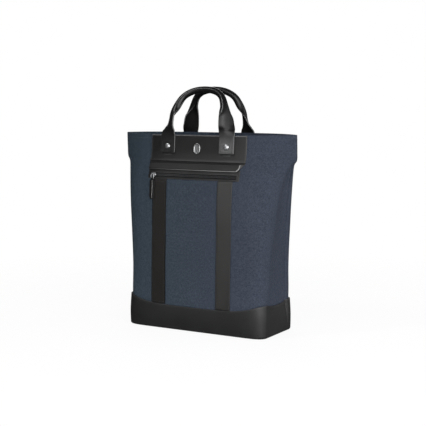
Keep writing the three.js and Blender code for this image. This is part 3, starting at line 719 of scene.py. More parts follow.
def on_panel(x, z, front, lift):
    """Points over a panel's face, lifted along its normal, and those normals."""
    x, z, lift = np.broadcast_arrays(np.asarray(x, float), z, lift)

    def at(px, pz):
        section = section_at(pz)
        reach = panel_reach(section, px / section["half_width"])
        return np.stack([px, -section["forward"] - front * reach, pz], axis=-1)

    step = 0.001
    normal = np.cross(at(x + step, z) - at(x - step, z), at(x, z + step) - at(x, z - step)) * front
    normal = normal / np.linalg.norm(normal, axis=-1, keepdims=True)
    face = at(x, z)
    return face + normal * (lift + cloth_swell(face))[..., None], normal


def ribbed_webbing(name, shine):
    """Close ribs along the strap, each a row of slanting yarns, with a darker selvedge."""
    finish = Finish(name)
    place = finish.node("ShaderNodeUVMap", {"uv_map": "cloth"})
    u = finish.node("ShaderNodeSeparateXYZ", {}, {0: place}, 0) / rib_pitch
    v = finish.node("ShaderNodeSeparateXYZ", {}, {0: place}, 1) / (rib_pitch * 0.8)
    rib = abs((u % 1.0) * 2.0 - 1.0)
    slant = abs(((v + (u % 1.0) * 0.7) % 1.0) * 2.0 - 1.0)
    height = (1.0 - rib * rib) * 0.7 + (1.0 - slant * slant) * 0.3
    body_place = finish.node("ShaderNodeTexCoord", output=3)
    fibre = finish.cloud(finish.node("ShaderNodeMapping", {}, {0: place, 3: (1800, 500, 1)}), 1.0, 3.0)
    patch = finish.cloud(body_place, 14.0, 3.0)
    edge = finish.node("ShaderNodeAttribute", {"attribute_name": "edge"}, output=2)
    # The rib height lightens the crests and darkens the hollows: painted shade.
    tone = fibre * 0.55 + patch * 0.3 + height * 0.25 - edge * 0.5
    yarn = finish.colour(tone, webbing_dark, webbing_light)
    ribs = finish.bump(height + fibre * 0.3, 0.00022, 0.7)
    return finish.surface(Base_Color=yarn, Roughness=fibre * 0.16 + 0.36, Specular_IOR_Level=shine,
                          Normal=ribs)


# A shaded and a lit copy of one webbing: the left one reflects little as painted shade, the right one much as
# painted reflection.
shaded_left_webbing = ribbed_webbing("charcoal webbing, left", 0.18)
lit_right_webbing = ribbed_webbing("charcoal webbing, right", 0.7)


def flat_section(width, wall, across_steps, edge_steps=5):
    """Across and height of a strap's section with round edges, the outer face first, and how
    near each point is to an edge."""
    radius = wall / 2
    half = width / 2 - radius
    face = [(u, wall) for u in np.linspace(-half, half, across_steps)]
    turns = np.linspace(90, -90, edge_steps + 2)[1:-1]
    right = [(half + radius * math.cos(math.radians(a)), radius + radius * math.sin(math.radians(a)))
             for a in turns]
    back = [(u, 0.0) for u in np.linspace(half, -half, 5)]
    left = [(-u, n) for u, n in right[::-1]]
    points = np.array(face + right + back + left)
    edge = np.clip((np.abs(points[:, 0]) - (half - 0.0015)) / 0.0015, 0, 1)
    return points, edge


def strap_axis(side, share):
    top = rim_height - band_drop - piece_gap
    middle = side * strap_spacing / 2 - strap_lean * share - 0.0014
    reach = base_width / 2
    place = np.arcsin(np.clip(np.abs(middle) / reach, 0, 1)) / (math.pi / 2)
    foot = boot_top(place) + piece_gap
    return middle, top + (foot - top) * share


def front_strap(name, side, webbing):
    section, near_edge = flat_section(strap_width, strap_wall, 26)
    selvedge = near_edge * 0.00012
    rings = []
    for share in np.linspace(1, 0, 90):
        middle, height = strap_axis(side, share)
        lift = piece_gap + section[:, 1] + selvedge
        rings.append(on_panel(middle + section[:, 0], height, 1, lift)[0])
    piece = loft("webbing_" + name, rings, [webbing], marks={"edge": np.tile(near_edge, len(rings))})
    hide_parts("strap_" + name)
    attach(piece, "bag")
    down = np.linspace(0.004, 0.997, 60)
    lines = []
    for edge in (-1, 1):
        middle, height = strap_axis(side, down)
        lift = piece_gap + strap_wall + 0.0001
        lines.append(on_panel(middle + edge * (strap_width / 2 - 0.0028), height, 1, lift)[0])
    for share in (0.010, 0.022, 0.985):
        middle, height = strap_axis(side, share)
        across = middle + np.linspace(-0.0135, 0.0135, 8)
        lines.append(on_panel(across, height, 1, piece_gap + strap_wall + 0.0001)[0])
    stitches("strap_stitches_" + name, lines, black_thread)


front_strap("left", -1, shaded_left_webbing)
front_strap("right", 1, lit_right_webbing)


# Yoke: one panel of black leather at the top of the front. A groove is pressed across it, and
# below the groove it turns over into a rounded flap that covers the zip.

yoke_width = 0.222
yoke_wall = 0.0018
yoke_top_drop = 0.0025
groove_drop = 0.0585
groove_depth = 0.0015
groove_spread = 0.0020
flap_length = 0.0155
flap_lift = 0.0032
flap_corner = 0.009
flap_left_inset = 0.003
flap_right_inset = 0.009
lip_radius = 0.0012

# Painted highlight: the flap's lip is lighter, faint at the left end and full at the right; the yoke's other edges
# are lighter as wear and painted highlight.
lip_highlight_left = 0.08
edge_wear_and_highlight = 0.28
# The light tone of the yoke leather is mostly painted highlight on the lip's edge.
yoke_leather = smooth_leather("yoke leather", (0.0050, 0.0049, 0.0049), (0.50, 0.50, 0.50), 0.9, 0.34, 0.42)


def yoke_profile():
    """Height and lift of the yoke's section from the top edge down the face, round the flap's
    lip and up the back, with an edge mark: lighter at the top edge as wear and painted highlight,
    painted highlight round the lip, and a negative mark of painted shade in the groove and on the flap's face."""
    top = rim_height - yoke_top_drop
    groove = rim_height - groove_drop
    lip = groove - flap_length
    half = yoke_wall / 2
    rows = [(top - half + half * math.sin(a), piece_gap + half + half * math.cos(a), 0.3)
            for a in np.linspace(math.pi / 2, 0.2, 5)]
    heights = np.concatenate([np.linspace(top - half, groove + 2.5 * groove_spread, 26)[1:],
                              np.linspace(groove + 2.2 * groove_spread, groove - 1.4 * groove_spread, 15),
                              np.linspace(groove - 1.8 * groove_spread, lip + lip_radius, 12)])
    for z in heights:
        fallen = min(max((groove - z) / flap_length, 0), 1)
        pressed = max(1 - abs(z - groove) / groove_spread, 0)
        rolled = 0.0002 * math.exp(-((z - groove - 1.5 * groove_spread) / groove_spread) ** 2)
        # Painted shade: a negative mark darkens the pressed groove and the flap's face.
        dark = -max(min(2 * pressed, 1), 0.45 * min(3 * fallen, 1))
        lift = piece_gap + flap_lift * min(1.25 * fallen, 1) ** 0.8 + yoke_wall
        rows.append((z, lift - groove_depth * math.sin(pressed * math.pi / 2) ** 0.6 + rolled, dark))
    face = rows[-1][1]
    # The lip's rows carry the painted highlight.
    for a in np.linspace(0, math.pi, 9)[1:]:
        near = math.sin(a)
        rows.append((lip + lip_radius * (1 - math.sin(a)), face - lip_radius * (1 - math.cos(a)), near))
    for z in np.linspace(lip + lip_radius, groove - groove_spread, 5)[1:]:
        fallen = min(max((groove - z) / flap_length, 0), 1)
        rows.append((z, piece_gap + max(flap_lift * min(1.25 * fallen, 1) ** 0.8 - 0.0006, 0), 0.0))
    rows += [(z, piece_gap, 0.0) for z in np.linspace(groove, top - half, 6)]
    return np.array(rows)


def yoke_ends(z):
    """Left and right end of the yoke at a height: the flap is shorter and has a round corner."""
    groove = rim_height - groove_drop
    below = np.clip((groove - z) / 0.0012, 0, 1)
    up = np.clip(flap_corner - (z - (groove - flap_length)), 0, flap_corner)
    cut = flap_corner - np.sqrt(flap_corner ** 2 - up ** 2)
    left = -yoke_width / 2 + flap_left_inset * below
    right = yoke_width / 2 - flap_right_inset * below - cut
    return left, right


def yoke():
    profile = yoke_profile()
    z, lift, near_lip = profile.T
    left, right = yoke_ends(z)
    middle = piece_gap + yoke_wall / 2
    rings = []
    edge_round = 0.0009
    ends = edge_round * (1 - np.cos(np.linspace(0.25, math.pi / 2, 5)))
    inner = np.linspace(edge_round, yoke_width / 2, 46)[1:]
    for distance in np.concatenate([ends, inner]):
        thin = math.sin(math.acos(max(1 - distance / edge_round, 0)))
        side = near_lip.copy()
        if distance < edge_round:
            side = np.maximum(side, 0.12)
        local_middle = lift - np.where(lift > middle, np.minimum(lift - middle, yoke_wall / 2), lift - middle)
        squeezed = local_middle + (lift - local_middle) * thin
        rings.append((distance, squeezed, side))
    solid = []
    for sense in (-1, 1):
        part = []
        for distance, squeezed, side in rings:
            share = distance / (yoke_width / 2)
            centre = (left + right) / 2
            x = centre + sense * (right - left) / 2 * (1 - share)
            # Painted highlight: the flap's right end is lighter below the groove.
            if sense > 0 and distance < 1.5 * edge_round:
                side = np.where(z < rim_height - groove_drop - groove_spread, 0.6, side)
            # The lip's painted highlight grows from the left end to the right end; the other edges keep a smaller
            # mark of wear and painted highlight.
            wear_and_highlight_scale = np.where(z < rim_height - groove_drop, lip_highlight_left + (1 - lip_highlight_left)
                              * (x / yoke_width + 0.5), edge_wear_and_highlight)
            side = np.where(side > 0, side * wear_and_highlight_scale, side)
            part.append((on_panel(x, z, 1, squeezed)[0], side))
        solid.append(part if sense < 0 else part[-2::-1])
    sections = solid[0] + solid[1]
    piece = loft("leather_yoke", [ring for ring, _ in sections], [yoke_leather],
                 marks={"edge": np.concatenate([side for _, side in sections])})
    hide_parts("yoke")
    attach(piece, "bag")


yoke()
grey_thread = waxed_thread("grey thread", (0.20, 0.20, 0.21))
yoke_face = piece_gap + yoke_wall
yoke_run = np.linspace(-yoke_width / 2 + 0.003, yoke_width / 2 - 0.003, 70)
yoke_top = rim_height - yoke_top_drop - 0.0016
top_seam = on_panel(yoke_run, yoke_top, 1, yoke_face + 0.0001)[0]
stitches("yoke_top_stitches", [top_seam], grey_thread, size=(0.0007, 0.0007, 0.0029))
tab_feet = [on_panel(side * 0.0684 + np.linspace(-0.0075, 0.0075, 8), rim_height - 0.0428, 1,
                     yoke_face + 0.0001)[0] for side in (-1, 1)]
stitches("tab_foot_stitches", tab_feet, grey_thread)
side_drop = np.linspace(yoke_top, rim_height - groove_drop + 0.004, 24)
side_seams = [on_panel(side * (yoke_width / 2 - 0.003), side_drop, 1, yoke_face + 0.0001)[0]
              for side in (-1, 1)]
stitches("yoke_side_stitches", side_seams, black_thread)


# Zip: a leather band with a long window for the closed row of teeth, a steel slider at its
# left end, and a bail that carries a folded leather tab.

band_right_end = 0.104
band_overlap = 0.003
band_wall = 0.0016
zip_height = 0.0055
zip_drop = 0.0845
zip_end_inset = 0.007
slider_inset = 0.017
slider_width = 0.012
slider_height = 0.0085
slider_wall = 0.003
bail_wire = 0.0015
bail_width = 0.008
bail_drop = 0.009
bail_corner = 0.0014
eye_standoff = 0.0008
running_gap = 0.0004
tab_length = 0.0425
tab_width = 0.0115
tab_wall = 0.0022
tab_shoulder = 0.003
window_height = 0.0078
window_depth = 0.0010
tooth_pitch = 0.0013

zip_z = rim_height - zip_drop
slider_x = -yoke_width / 2 + slider_inset
window_left = slider_x - slider_width / 2 - 0.001
window_right = band_right_end - zip_end_inset + 0.001


def zip_band():
    low = rim_height - band_drop
    high = rim_height - groove_drop - flap_length + band_overlap
    left = -yoke_width / 2 + flap_left_inset
    half = band_wall / 2
    bottom = [(low + half - half * math.cos(a), half + half * math.sin(a), 1.0)
              for a in np.linspace(-1.2, 1.3, 6)]
    bottom = [(z, lift, 0.35) for z, lift, _ in bottom]
    face = [(z, band_wall, 0.0) for z in np.linspace(low + half, high - half, 44)]
    top = [(high - half + half * math.cos(a), half + half * math.sin(a), 0.0)
           for a in np.linspace(1.3, -1.2, 6)]
    back = [(z, 0.0, 0.0) for z in np.linspace(high - half, low + half, 6)[1:-1]]
    z, lift, edge = np.array(bottom + face + top + back).T
    on_face = (lift > band_wall * 0.99).astype(float)
    rings, marks = [], []
    run = np.concatenate([[0, 0.0002, 0.0006, 0.0012], np.linspace(0.003, 0.005, 3),
                          np.linspace(0.0055, band_right_end - left - 0.0055, 90),
                          band_right_end - left - np.array([0.005, 0.004, 0.003, 0.0012, 0.0006, 0.0002, 0])])
    for distance in run:
        x = left + distance
        rim = min(distance, band_right_end - left - distance)
        thin = math.sin(math.acos(max(1 - max(rim, 0.00008) / 0.0009, 0)))
        inside = min(x - window_left, window_right - x)
        across = window_height / 2 - np.abs(z - zip_z)
        cut = np.clip(np.minimum(inside, across) / 0.0005, 0, 1) * on_face
        welt = np.exp(-((np.minimum(inside, across) + 0.0009) / 0.0006) ** 2) * on_face
        shaped = lift - window_depth * cut + 0.0005 * welt
        shaped = band_wall / 2 + (shaped - band_wall / 2) * thin
        rings.append(on_panel(x, z, 1, piece_gap + shaped)[0])
        # The band's bottom edge, its ends and the welt round the window are lighter: wear and painted highlight.
        marks.append(np.maximum(edge, welt * 0.12) if rim > 0.0005 else np.full(len(z), 0.12))
    piece = loft("leather_zip_band", rings, [yoke_leather], marks={"edge": edge_wear_and_highlight * np.concatenate(marks)})
    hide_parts("zip_band")
    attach(piece, "bag")
    run = np.linspace(left + 0.003, band_right_end - 0.003, 60)
    lines = [on_panel(run, low + 0.0022, 1, piece_gap + band_wall + 0.0001)[0]]
    stitches("zip_band_stitches", lines, black_thread)


zip_band()


def moulded(name, tone, rough):
    """Moulded plastic with fine mould marks and lighter and darker patches."""
    finish = Finish(name)
    place = finish.node("ShaderNodeTexCoord", output=3)
    marks = finish.cloud(place, 900.0, 3.0)
    patch = finish.cloud(place, 70.0, 2.0)
    skin = finish.colour(marks * 0.5 + patch * 0.5, tone, tuple(2.4 * c for c in tone))
    return finish.surface(Base_Color=skin, Roughness=marks * 0.15 + rough,
                          Normal=finish.bump(marks, 0.00005, 0.4))


def zip_chain():
    """Woven tape on the window's floor and two rows of teeth that meet in the middle."""
    left = slider_x + slider_width / 2 - 0.002
    right = band_right_end - zip_end_inset
    section, _ = flat_section(window_height - 0.0008, 0.0005, 12, 3)
    tape = []
    for x in np.linspace(window_left + 0.0006, window_right - 0.0006, 70):
        lift = piece_gap + band_wall - window_depth + 0.0001 + section[:, 1]
        tape.append(on_panel(x, zip_z + section[:, 0], 1, lift)[0])
    tape = loft("zip_tape", tape, [canvas("black zip tape", (0.007, 0.007, 0.008), (0.022, 0.022, 0.024), 0.0004)])
    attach(tape, "bag")
    teeth_lift = piece_gap + band_wall + 0.0006
    rows = []
    for sense in (-1, 1):
        start = left + (tooth_pitch / 2 if sense > 0 else 0)
        x = np.linspace(start, right, 80)
        rows.append(on_panel(x, zip_z + sense * 0.0012, 1, teeth_lift)[0])
    teeth = stitches("zip_teeth", rows, moulded("zip teeth", (0.012, 0.012, 0.013), 0.32),
                     size=(0.0021, 0.0030, 0.0010), pitch=tooth_pitch)
    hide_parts("zip_chain")


zip_chain()


def steel(name, tone=(0.66, 0.67, 0.68), rough=0.24, line=(300, 300, 2400)):
    """Plated steel, polished and then handled: fine lines, small scratches and dull spots."""
    finish = Finish(name)
    place = finish.node("ShaderNodeTexCoord", output=3)
    lines = finish.cloud(finish.node("ShaderNodeMapping", {}, {0: place, 3: line}), 1.0, 4.0)
    dull = finish.cloud(place, 220.0, 3.0)
    plate = finish.colour(dull * 0.7 + lines * 0.3, tuple(0.82 * c for c in tone), tone)
    return finish.surface(
        Base_Color=plate, Metallic=1.0, Roughness=finish.between(dull, 0.3, 0.7) * 0.14 + lines * 0.08
        + (rough - 0.06), Normal=finish.bump(lines, 0.00002, 0.35))


polished_steel = steel("polished steel", (0.42, 0.43, 0.44))
hinge = next(joint for joint in frame["joints"] if joint["name"] == "puller_swing")
eye = Vector(hinge["pos_m"])
sideways = -Vector(hinge["axis"]).normalized()
eye_reach = bail_wire / 2 + running_gap + eye_standoff
puller_lean = math.radians(3.5)


def turned(points, origin, right, lean=0.0):
    """Local points, with x to the right, -y to the front and z up, set at a place on the bag."""
    forward = np.array([-right.y, right.x, 0.0])
    up = np.array([0.0, 0.0, 1.0])
    back = forward * math.cos(lean) - up * math.sin(lean)
    lifted = up * math.cos(lean) + forward * math.sin(lean)
    points = np.asarray(points, float)
    return (np.array(origin) + points[..., 0:1] * np.array(right) + points[..., 1:2] * back
            + points[..., 2:3] * lifted)


def superellipse(width, height, power, count):
    angles = np.linspace(0, 2 * math.pi, count, endpoint=False)
    c, s = np.cos(angles), np.sin(angles)
    return np.stack([width / 2 * np.sign(c) * np.abs(c) ** (2 / power),
                     height / 2 * np.sign(s) * np.abs(s) ** (2 / power)], axis=-1)


def raised_plate(outline_points, steps):
    """Rings of an upright outline that is raised to the front. steps holds inset and reach."""
    size = np.abs(outline_points).max(axis=0)
    rings = []
    for inset, reach in steps:
        scaled = outline_points * (1 - inset / size)
        rings.append(np.stack([scaled[:, 0], np.full(len(scaled), -reach), scaled[:, 1]], axis=-1))
    return rings


_, slider_normal = on_panel(np.array([slider_x]), np.array([zip_z]), 1, 0.0)
slider_tilt = math.asin(slider_normal[0][2])


def zip_slider():
    centre = np.array(eye) - slider_normal[0] * (eye_reach + slider_wall)
    plate = superellipse(slider_width, slider_height, 3.4, 56)
    plate[:, 1] *= 1 - 0.16 * np.clip(plate[:, 0] / (slider_width / 2), 0, 1)
    body = raised_plate(plate, [
        (0.0012, 0.0), (0.0003, 0.0), (0, 0.0004), (0, 0.0011), (0.0006, 0.0013), (0.0006, 0.0017),
        (0, 0.0019), (0, 0.0024), (0.0002, 0.0028), (0.0008, 0.0030), (0.0022, 0.0031)])
    body = turned(np.array(body), centre, sideways, slider_tilt)
    piece = loft("steel_zip_slider", body, [polished_steel])
    arch = []
    radius = bail_wire / 2 + running_gap + 0.0005
    width, wall = 0.0024, 0.0010
    for a in np.linspace(-0.30, 1.30, 27) * math.pi - math.pi / 2:
        ring = superellipse(width, wall, 4, 16)
        reach = radius + ring[:, 1]
        arch.append(np.stack([ring[:, 0], -reach * math.cos(a), reach * math.sin(a)], axis=-1))
    arch = turned(np.array(arch), eye, sideways, slider_tilt)
    lug = loft("steel_zip_lug", arch, [polished_steel])
    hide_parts("zip_slider")
    for part in (piece, lug):
        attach(part, "bag")


zip_slider()


def puller_link():
    """A closed ring of wire: a rounded rectangle whose upper bar turns in the lug's eye."""
    half = bail_width / 2 - bail_wire / 2
    corners = [(half - bail_corner, -bail_corner, 90), (-half + bail_corner, -bail_corner, 180),
               (-half + bail_corner, -bail_drop + bail_corner, 270),
               (half - bail_corner, -bail_drop + bail_corner, 360)]
    path = []
    for x, z, end in corners:
        for a in np.radians(np.linspace(end - 90, end, 8)):
            path.append((x + bail_corner * math.cos(a), 0, z + bail_corner * math.sin(a)))
    path = np.array(path)
    tangent = np.roll(path, -1, axis=0) - np.roll(path, 1, axis=0)
    tangent /= np.linalg.norm(tangent, axis=1, keepdims=True)
    out = np.cross(tangent, [0, 1, 0])
    sides = np.linspace(0, 2 * math.pi, 12, endpoint=False)
    wire = bail_wire / 2
    rings = path[:, None] + wire * (np.cos(sides)[None, :, None] * np.array([0, 1, 0])
                                    + np.sin(sides)[None, :, None] * out[:, None])
    rings = turned(rings, eye, sideways, puller_lean)
    count, around = rings.shape[:2]
    index = np.arange(count * around).reshape(count, around)
    quads = np.stack([index, np.roll(index, -1, axis=0), np.roll(np.roll(index, -1, axis=0), -1, axis=1),
                      np.roll(index, -1, axis=1)], axis=-1).reshape(-1, 4)
    piece = make_piece("steel_puller_link", rings.reshape(-1, 3), quads.tolist(), [polished_steel])
    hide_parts("puller_link")
    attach(piece, "puller")


puller_link()
tab_leather = smooth_leather("puller leather", (0.0034, 0.0034, 0.0034), (0.010, 0.010, 0.010), 0.8, 0.48, 0.22)


def puller_tab():
    """One strip of leather, folded round the bail's lower bar and stitched to itself below it."""
    layer = tab_wall / 2
    ring_radius = bail_wire / 2 + piece_gap + layer / 2
    lying = layer / 2 + 0.00004
    drop = np.linspace(tab_length, tab_shoulder + ring_radius, 34)
    front = [(-lying, -d) for d in drop]
    bend = np.linspace(-0.62, math.pi + 0.62, 22)
    loop = [(-ring_radius * math.cos(a), ring_radius * math.sin(a)) for a in bend]
    path = np.array(front + loop + [(-y, z) for y, z in front[::-1]])
    tangent = np.gradient(path, axis=0)
    tangent /= np.linalg.norm(tangent, axis=1, keepdims=True)
    across = np.stack([-tangent[:, 1], tangent[:, 0]], axis=-1)
    neck = bail_width / 2 - bail_wire - piece_gap
    rings, marks = [], []
    for (y, z), (ny, nz) in zip(path, across):
        from_end = tab_length + z
        half = tab_width / 2
        if from_end < half:
            half = math.sqrt(max(half ** 2 - (half - from_end) ** 2, 0.0006 ** 2))
        shoulder = np.clip((-z - ring_radius) / tab_shoulder, 0, 1)
        half = min(half, neck + (tab_width / 2 - neck) * shoulder)
        section, edge = flat_section(2 * half, layer, 10, 3)
        n = section[:, 1] - layer / 2
        rings.append(np.stack([section[:, 0], y + ny * n, z + nz * n - bail_drop], axis=-1))
        marks.append(edge)
    piece = loft("leather_puller_tab", turned(np.array(rings), eye, sideways, puller_lean),
                 [tab_leather], marks={"edge": np.concatenate(marks)})
    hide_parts("puller_tab")
    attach(piece, "puller")
    face = -tab_wall / 2 - 0.0001
    seam = np.array([(0.0010, face, z - bail_drop) for z in np.linspace(-0.0055, -tab_length + 0.0045, 30)])
    stitches("puller_stitches", [turned(seam, eye, sideways, puller_lean)],
             waxed_thread("pale thread", (0.42, 0.42, 0.42)), "puller",
             size=(0.0009, 0.0007, 0.0023), pitch=0.0026)


puller_tab()


# Badge: a plain oval plate of plated steel on the yoke, with a rolled rim round a brushed,
# blank field. Two pins that don't show hold it.

badge_width = 0.015
badge_height = 0.021
badge_wall = 0.0016
badge_drop = 0.030
badge_bridge = 0.0005


def set_on_panel(rings, x, drop, front, lift):
    """Upright rings, raised to -Y, laid on a panel's face."""
    spot, normal = on_panel(np.array([x]), np.array([rim_height - drop]), front, lift)
    normal = normal[0]
    right = np.cross(normal, [0, 0, -1])
    right /= np.linalg.norm(right)
    up = np.cross(normal, right)
    rings = np.asarray(rings)
    return spot[0] + rings[..., 0:1] * right - rings[..., 1:2] * normal + rings[..., 2:3] * up


def badge():
    oval = superellipse(badge_width, badge_height, 2.5, 72)
    rings = raised_plate(oval, [
        (0.0005, 0), (0.0001, 0.0001), (0, 0.0005), (0.0001, 0.0010), (0.0004, 0.0014),
        (0.0009, 0.0016), (0.0014, 0.0015), (0.0017, 0.0011), (0.0018, 0.0009), (0.0022, 0.0008),
        (0.0040, 0.0008), (0.0065, 0.00085)])
    lift = piece_gap + yoke_wall + piece_gap + badge_bridge
    field = steel("brushed badge", (0.32, 0.325, 0.33), 0.40, (4000, 4000, 260))
    rim = steel("badge rim", (0.46, 0.465, 0.47), 0.30)
    piece = loft("steel_badge", set_on_panel(rings, 0, badge_drop, 1, lift), [rim, field],
                 row_material=(np.arange(len(rings) - 1) > 7).astype(int))
    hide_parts("badge")
    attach(piece, "bag")


badge()


# Handles: two straps of bridle leather. The flat tabs are riveted and sewn to the bag, and
# above the rim each strap rolls up round a cord into the grip, its edges meeting below.

handle_spread = 0.1368
handle_width = 0.032
handle_wall = 0.003
handle_tab_drop = 0.0395
handle_rise = 0.095
handle_meeting = 0.019
handle_bridge = 0.0007
tab_end_below_rim = 0.005
# Painted reflection on the front handle's tabs, much lighter at the right.
left_tab_highlight = 0.08
right_tab_highlight = 0.5
leg_shade_from = 0.406
flat_curl = 0.01

line_columns = ("spread", "rise", "lean", "turn", "curl")
handle_line = [dict(zip(line_columns, row)) for row in (
    (1.00, 0.06, 0.01, 14, 0.02), (1.00, 0.12, 0.03, 29, 0.05), (0.995, 0.20, 0.055, 42, 0.12),
    (0.985, 0.32, 0.12, 49, 0.18), (0.975, 0.45, 0.22, 58, 0.34), (0.90, 0.62, 0.42, 73, 0.74),
    (0.73, 0.82, 0.70, 88, 0.97),
    (0.51, 0.93, 0.88, 90, 0.98), (0.255, 0.985, 0.97, 90, 0.98), (0.00, 1.00, 1.00, 90, 0.98))]

# The handle's lighter tone lights the cut edges as raw edge and painted highlight, and the front tabs as painted
# reflection.
handle_leather = smooth_leather("handle leather", (0.0036, 0.0036, 0.0037), (0.17, 0.17, 0.172), 0.25, 0.22, 0.30)
handle_lining = smooth_leather("handle lining", (0.0024, 0.0024, 0.0025), (0.020, 0.020, 0.020), 1.4, 0.62, 0.12)


def smooth_path(points, share):
    """A point on a centripetal Catmull-Rom curve through the points."""
    points = [2 * points[0] - points[1]] + list(points) + [2 * points[-1] - points[-2]]
    whole = (len(points) - 3) * share
    i = min(int(whole), len(points) - 4)
    t = whole - i
    a, b, c, d = points[i:i + 4]
    gaps = [np.linalg.norm(q - p) ** 0.5 for p, q in ((a, b), (b, c), (c, d))]
    leave = ((b - a) / gaps[0] - (c - a) / (gaps[0] + gaps[1]) + (c - b) / gaps[1]) * gaps[1]
    arrive = ((c - b) / gaps[1] - (d - b) / (gaps[1] + gaps[2]) + (d - c) / gaps[2]) * gaps[1]
    return (b + leave * t + (3 * (c - b) - 2 * leave - arrive) * t ** 2
            + (2 * (b - c) + leave + arrive) * t ** 3)


def handle_path(front):
    """Places of the strap's outer face from one tab's foot to the top of the arch, as if the
    handle faced the front: the point, how far the strap is turned and how far it is rolled."""
    lift = piece_gap + handle_bridge + handle_wall + (piece_gap + yoke_wall if front > 0 else 0)
    heights = rim_height - handle_tab_drop + (handle_tab_drop - tab_end_below_rim) * np.linspace(0, 1, 14)
    spots, normals = on_panel(handle_spread / 2, heights, front, lift)
    mirror = np.array([1, front, 1])
    spots, normals = spots * mirror, normals * mirror
    places = [(spot, math.degrees(math.atan2(n[0], -n[1])), flat_curl) for spot, n in zip(spots, normals)]
    foot, foot_turn, _ = places[-1]
    line = [foot] + [np.array([
        row["spread"] * handle_spread / 2, foot[1] - (handle_meeting + foot[1]) * row["lean"],
        rim_height + row["rise"] * handle_rise]) for row in handle_line]
    twist = [dict(at=0, turn=foot_turn, curl=flat_curl)]
    twist += [dict(at=(i + 1) / len(handle_line), turn=row["turn"], curl=row["curl"])
              for i, row in enumerate(handle_line)]
    for share in np.linspace(0, 1, 76)[1:]:
        near = np.clip(share + np.linspace(-1, 1, 9) * min(0.06, share), 0, 1)
        places.append((smooth_path(line, share),
                       float(np.mean([along(twist, "at", "turn", at) for at in near])),
                       float(np.mean([along(twist, "at", "curl", at) for at in near]))))
    return places


def handle_frames(front):
    """Point, way across, way out and roll of the strap at each place of a whole handle."""
    half = handle_path(front)
    points = np.array([place[0] for place in half])
    closing = points[-2] * np.array([-1, 1, 1])
    longer = np.concatenate([[2 * points[0] - points[1]], points, [closing]])
    tangents = longer[2:] - longer[:-2]
    tangents /= np.linalg.norm(tangents, axis=1, keepdims=True)
    frames = []
    for point, tangent, (_, turn, curl) in zip(points, tangents, half):
        angle = math.radians(turn)
        out = np.array([tangent[2], 0, -tangent[0]]) * math.sin(angle) + [0, -math.cos(angle), 0]
        out = out - tangent * np.dot(out, tangent)
        out /= np.linalg.norm(out)
        frames.append((point, np.cross(out, tangent), out, curl))
    flip = np.array([-1, 1, 1])
    far = [(p * flip, across * flip, out * flip, curl) for p, across, out, curl in frames[-2::-1]]
    whole = frames + far
    if front < 0:
        around = np.array([-1, -1, 1])
        whole = [(p * around, across * around, out * around, curl) for p, across, out, curl in whole]
    return whole


def rolled_section(curl):
    """The strap's section: across and depth below the outer face, and the mark of its edges."""
    turn = max(curl, flat_curl) * 2 * math.pi
    radius = handle_width / turn
    half = handle_wall / 2
    bulge = 0.0006 - 0.00035 * curl
    section = []
    for a in np.linspace(-turn / 2, turn / 2, 30):
        section.append(((radius + half) * math.sin(a), -(radius + half) * (1 - math.cos(a)), 0.0))
    for a in np.linspace(80, -80, 6):
        reach = radius + half * math.sin(math.radians(a))
        past = turn / 2 + bulge * math.cos(math.radians(a)) / radius
        section.append((reach * math.sin(past), -half - radius + reach * math.cos(past), 1.0))
    for a in np.linspace(turn / 2, -turn / 2, 16):
        reach = radius - half
        section.append((reach * math.sin(a), -half - radius + reach * math.cos(a), 0.0))
    for a in np.linspace(-80, 80, 6):
        reach = radius + half * math.sin(math.radians(a))
        past = -turn / 2 - bulge * math.cos(math.radians(a)) / radius
        section.append((reach * math.sin(past), -half - radius + reach * math.cos(past), 1.0))
    return np.array(section)


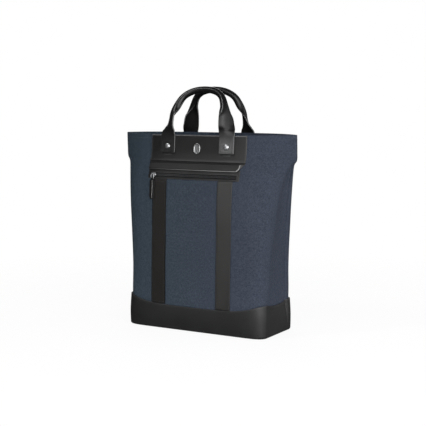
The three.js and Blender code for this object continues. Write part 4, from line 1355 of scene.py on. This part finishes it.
def handle(name, front):
    frames = handle_frames(front)
    rings, marks = [], []
    for point, across, out, curl in frames:
        section = rolled_section(curl)
        rings.append(point + section[:, :1] * across + section[:, 1:2] * out)
        # Painted reflection: the front handle's tabs are lighter below the rim, the right tab more than the left.
        tab_highlight = left_tab_highlight if point[0] < 0 else right_tab_highlight
        wear_and_highlight = tab_highlight * max(front, 0) * np.clip((0.41 - point[2]) / 0.03, 0, 1)
        # The cut edges are lighter, as raw edge and as painted highlight.
        mark = np.maximum(section[:, 2] * 0.8, wear_and_highlight)
        # Painted shade: the right leg of the front handle is darker and rougher just above the rim, which dims its
        # reflection.
        if front > 0 and point[0] > 0 and point[2] > leg_shade_from:
            aside = np.clip((rings[-1][:, 0] - point[0] + 0.006) / 0.005, 0, 1)
            height = min((point[2] - leg_shade_from) / 0.006, 1) * np.clip((0.465 - point[2]) / 0.02, 0, 1)
            mark = np.where(section[:, 2] < 0.5, mark - 0.55 * aside * height, mark)
        marks.append(mark)
    lined = ((section[:, 2] < 0.5) & (np.arange(len(section)) > 30)).astype(int)
    piece = loft("leather_handle_" + name, rings, [handle_leather, handle_lining],
                 marks={"edge": np.concatenate(marks)}, column_material=lined)
    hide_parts("handle_" + name)
    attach(piece, "bag")
    # The box seam round each rivet, 3 mm inside the tab's outline.
    seams = []
    for part in (frames[:14], frames[-14:][::-1]):
        inset = handle_width / 2 - 0.0030
        used = part[1:10]
        left = [p - across * inset + out * 0.0001 for p, across, out, _ in used]
        right = [p + across * inset + out * 0.0001 for p, across, out, _ in used]
        seams.append(left + right[::-1] + left[:1])
    stitches("handle_stitches_" + name, seams, black_thread)


handle("front", 1)
handle("back", -1)


# Rivets: domed steel caps with a thin rolled edge, one through the middle of each tab.

rivet_diameter = 0.0118
rivet_rise = 0.0023
rivet_edge = 0.0007
rivet_drop = 0.026

rivet_steel = steel("rivet steel", (0.56, 0.57, 0.58), 0.34)


def rivet(name, side, front):
    circle = superellipse(rivet_diameter, rivet_diameter, 2, 40)
    radius = rivet_diameter / 2
    steps = [(0.0006, 0), (0.0001, 0.0001), (0, 0.0004), (0.0001, 0.0006), (0.0004, rivet_edge)]
    for angle in np.radians(np.linspace(8, 86, 11)):
        inset = radius - (radius - 0.0004) * math.cos(angle)
        steps.append((inset, rivet_edge + (rivet_rise - rivet_edge) * math.sin(angle)))
    face = piece_gap + handle_bridge + handle_wall + piece_gap
    if front > 0:
        face += yoke_wall + piece_gap
    rings = set_on_panel(raised_plate(circle, steps), side * handle_spread / 2, rivet_drop, front, face)
    piece = loft("steel_" + name, rings, [rivet_steel])
    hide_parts(name)
    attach(piece, "bag")


for side_name, side in (("left", -1), ("right", 1)):
    rivet("rivet_front_" + side_name, side, 1)
    rivet("rivet_back_" + side_name, side, -1)
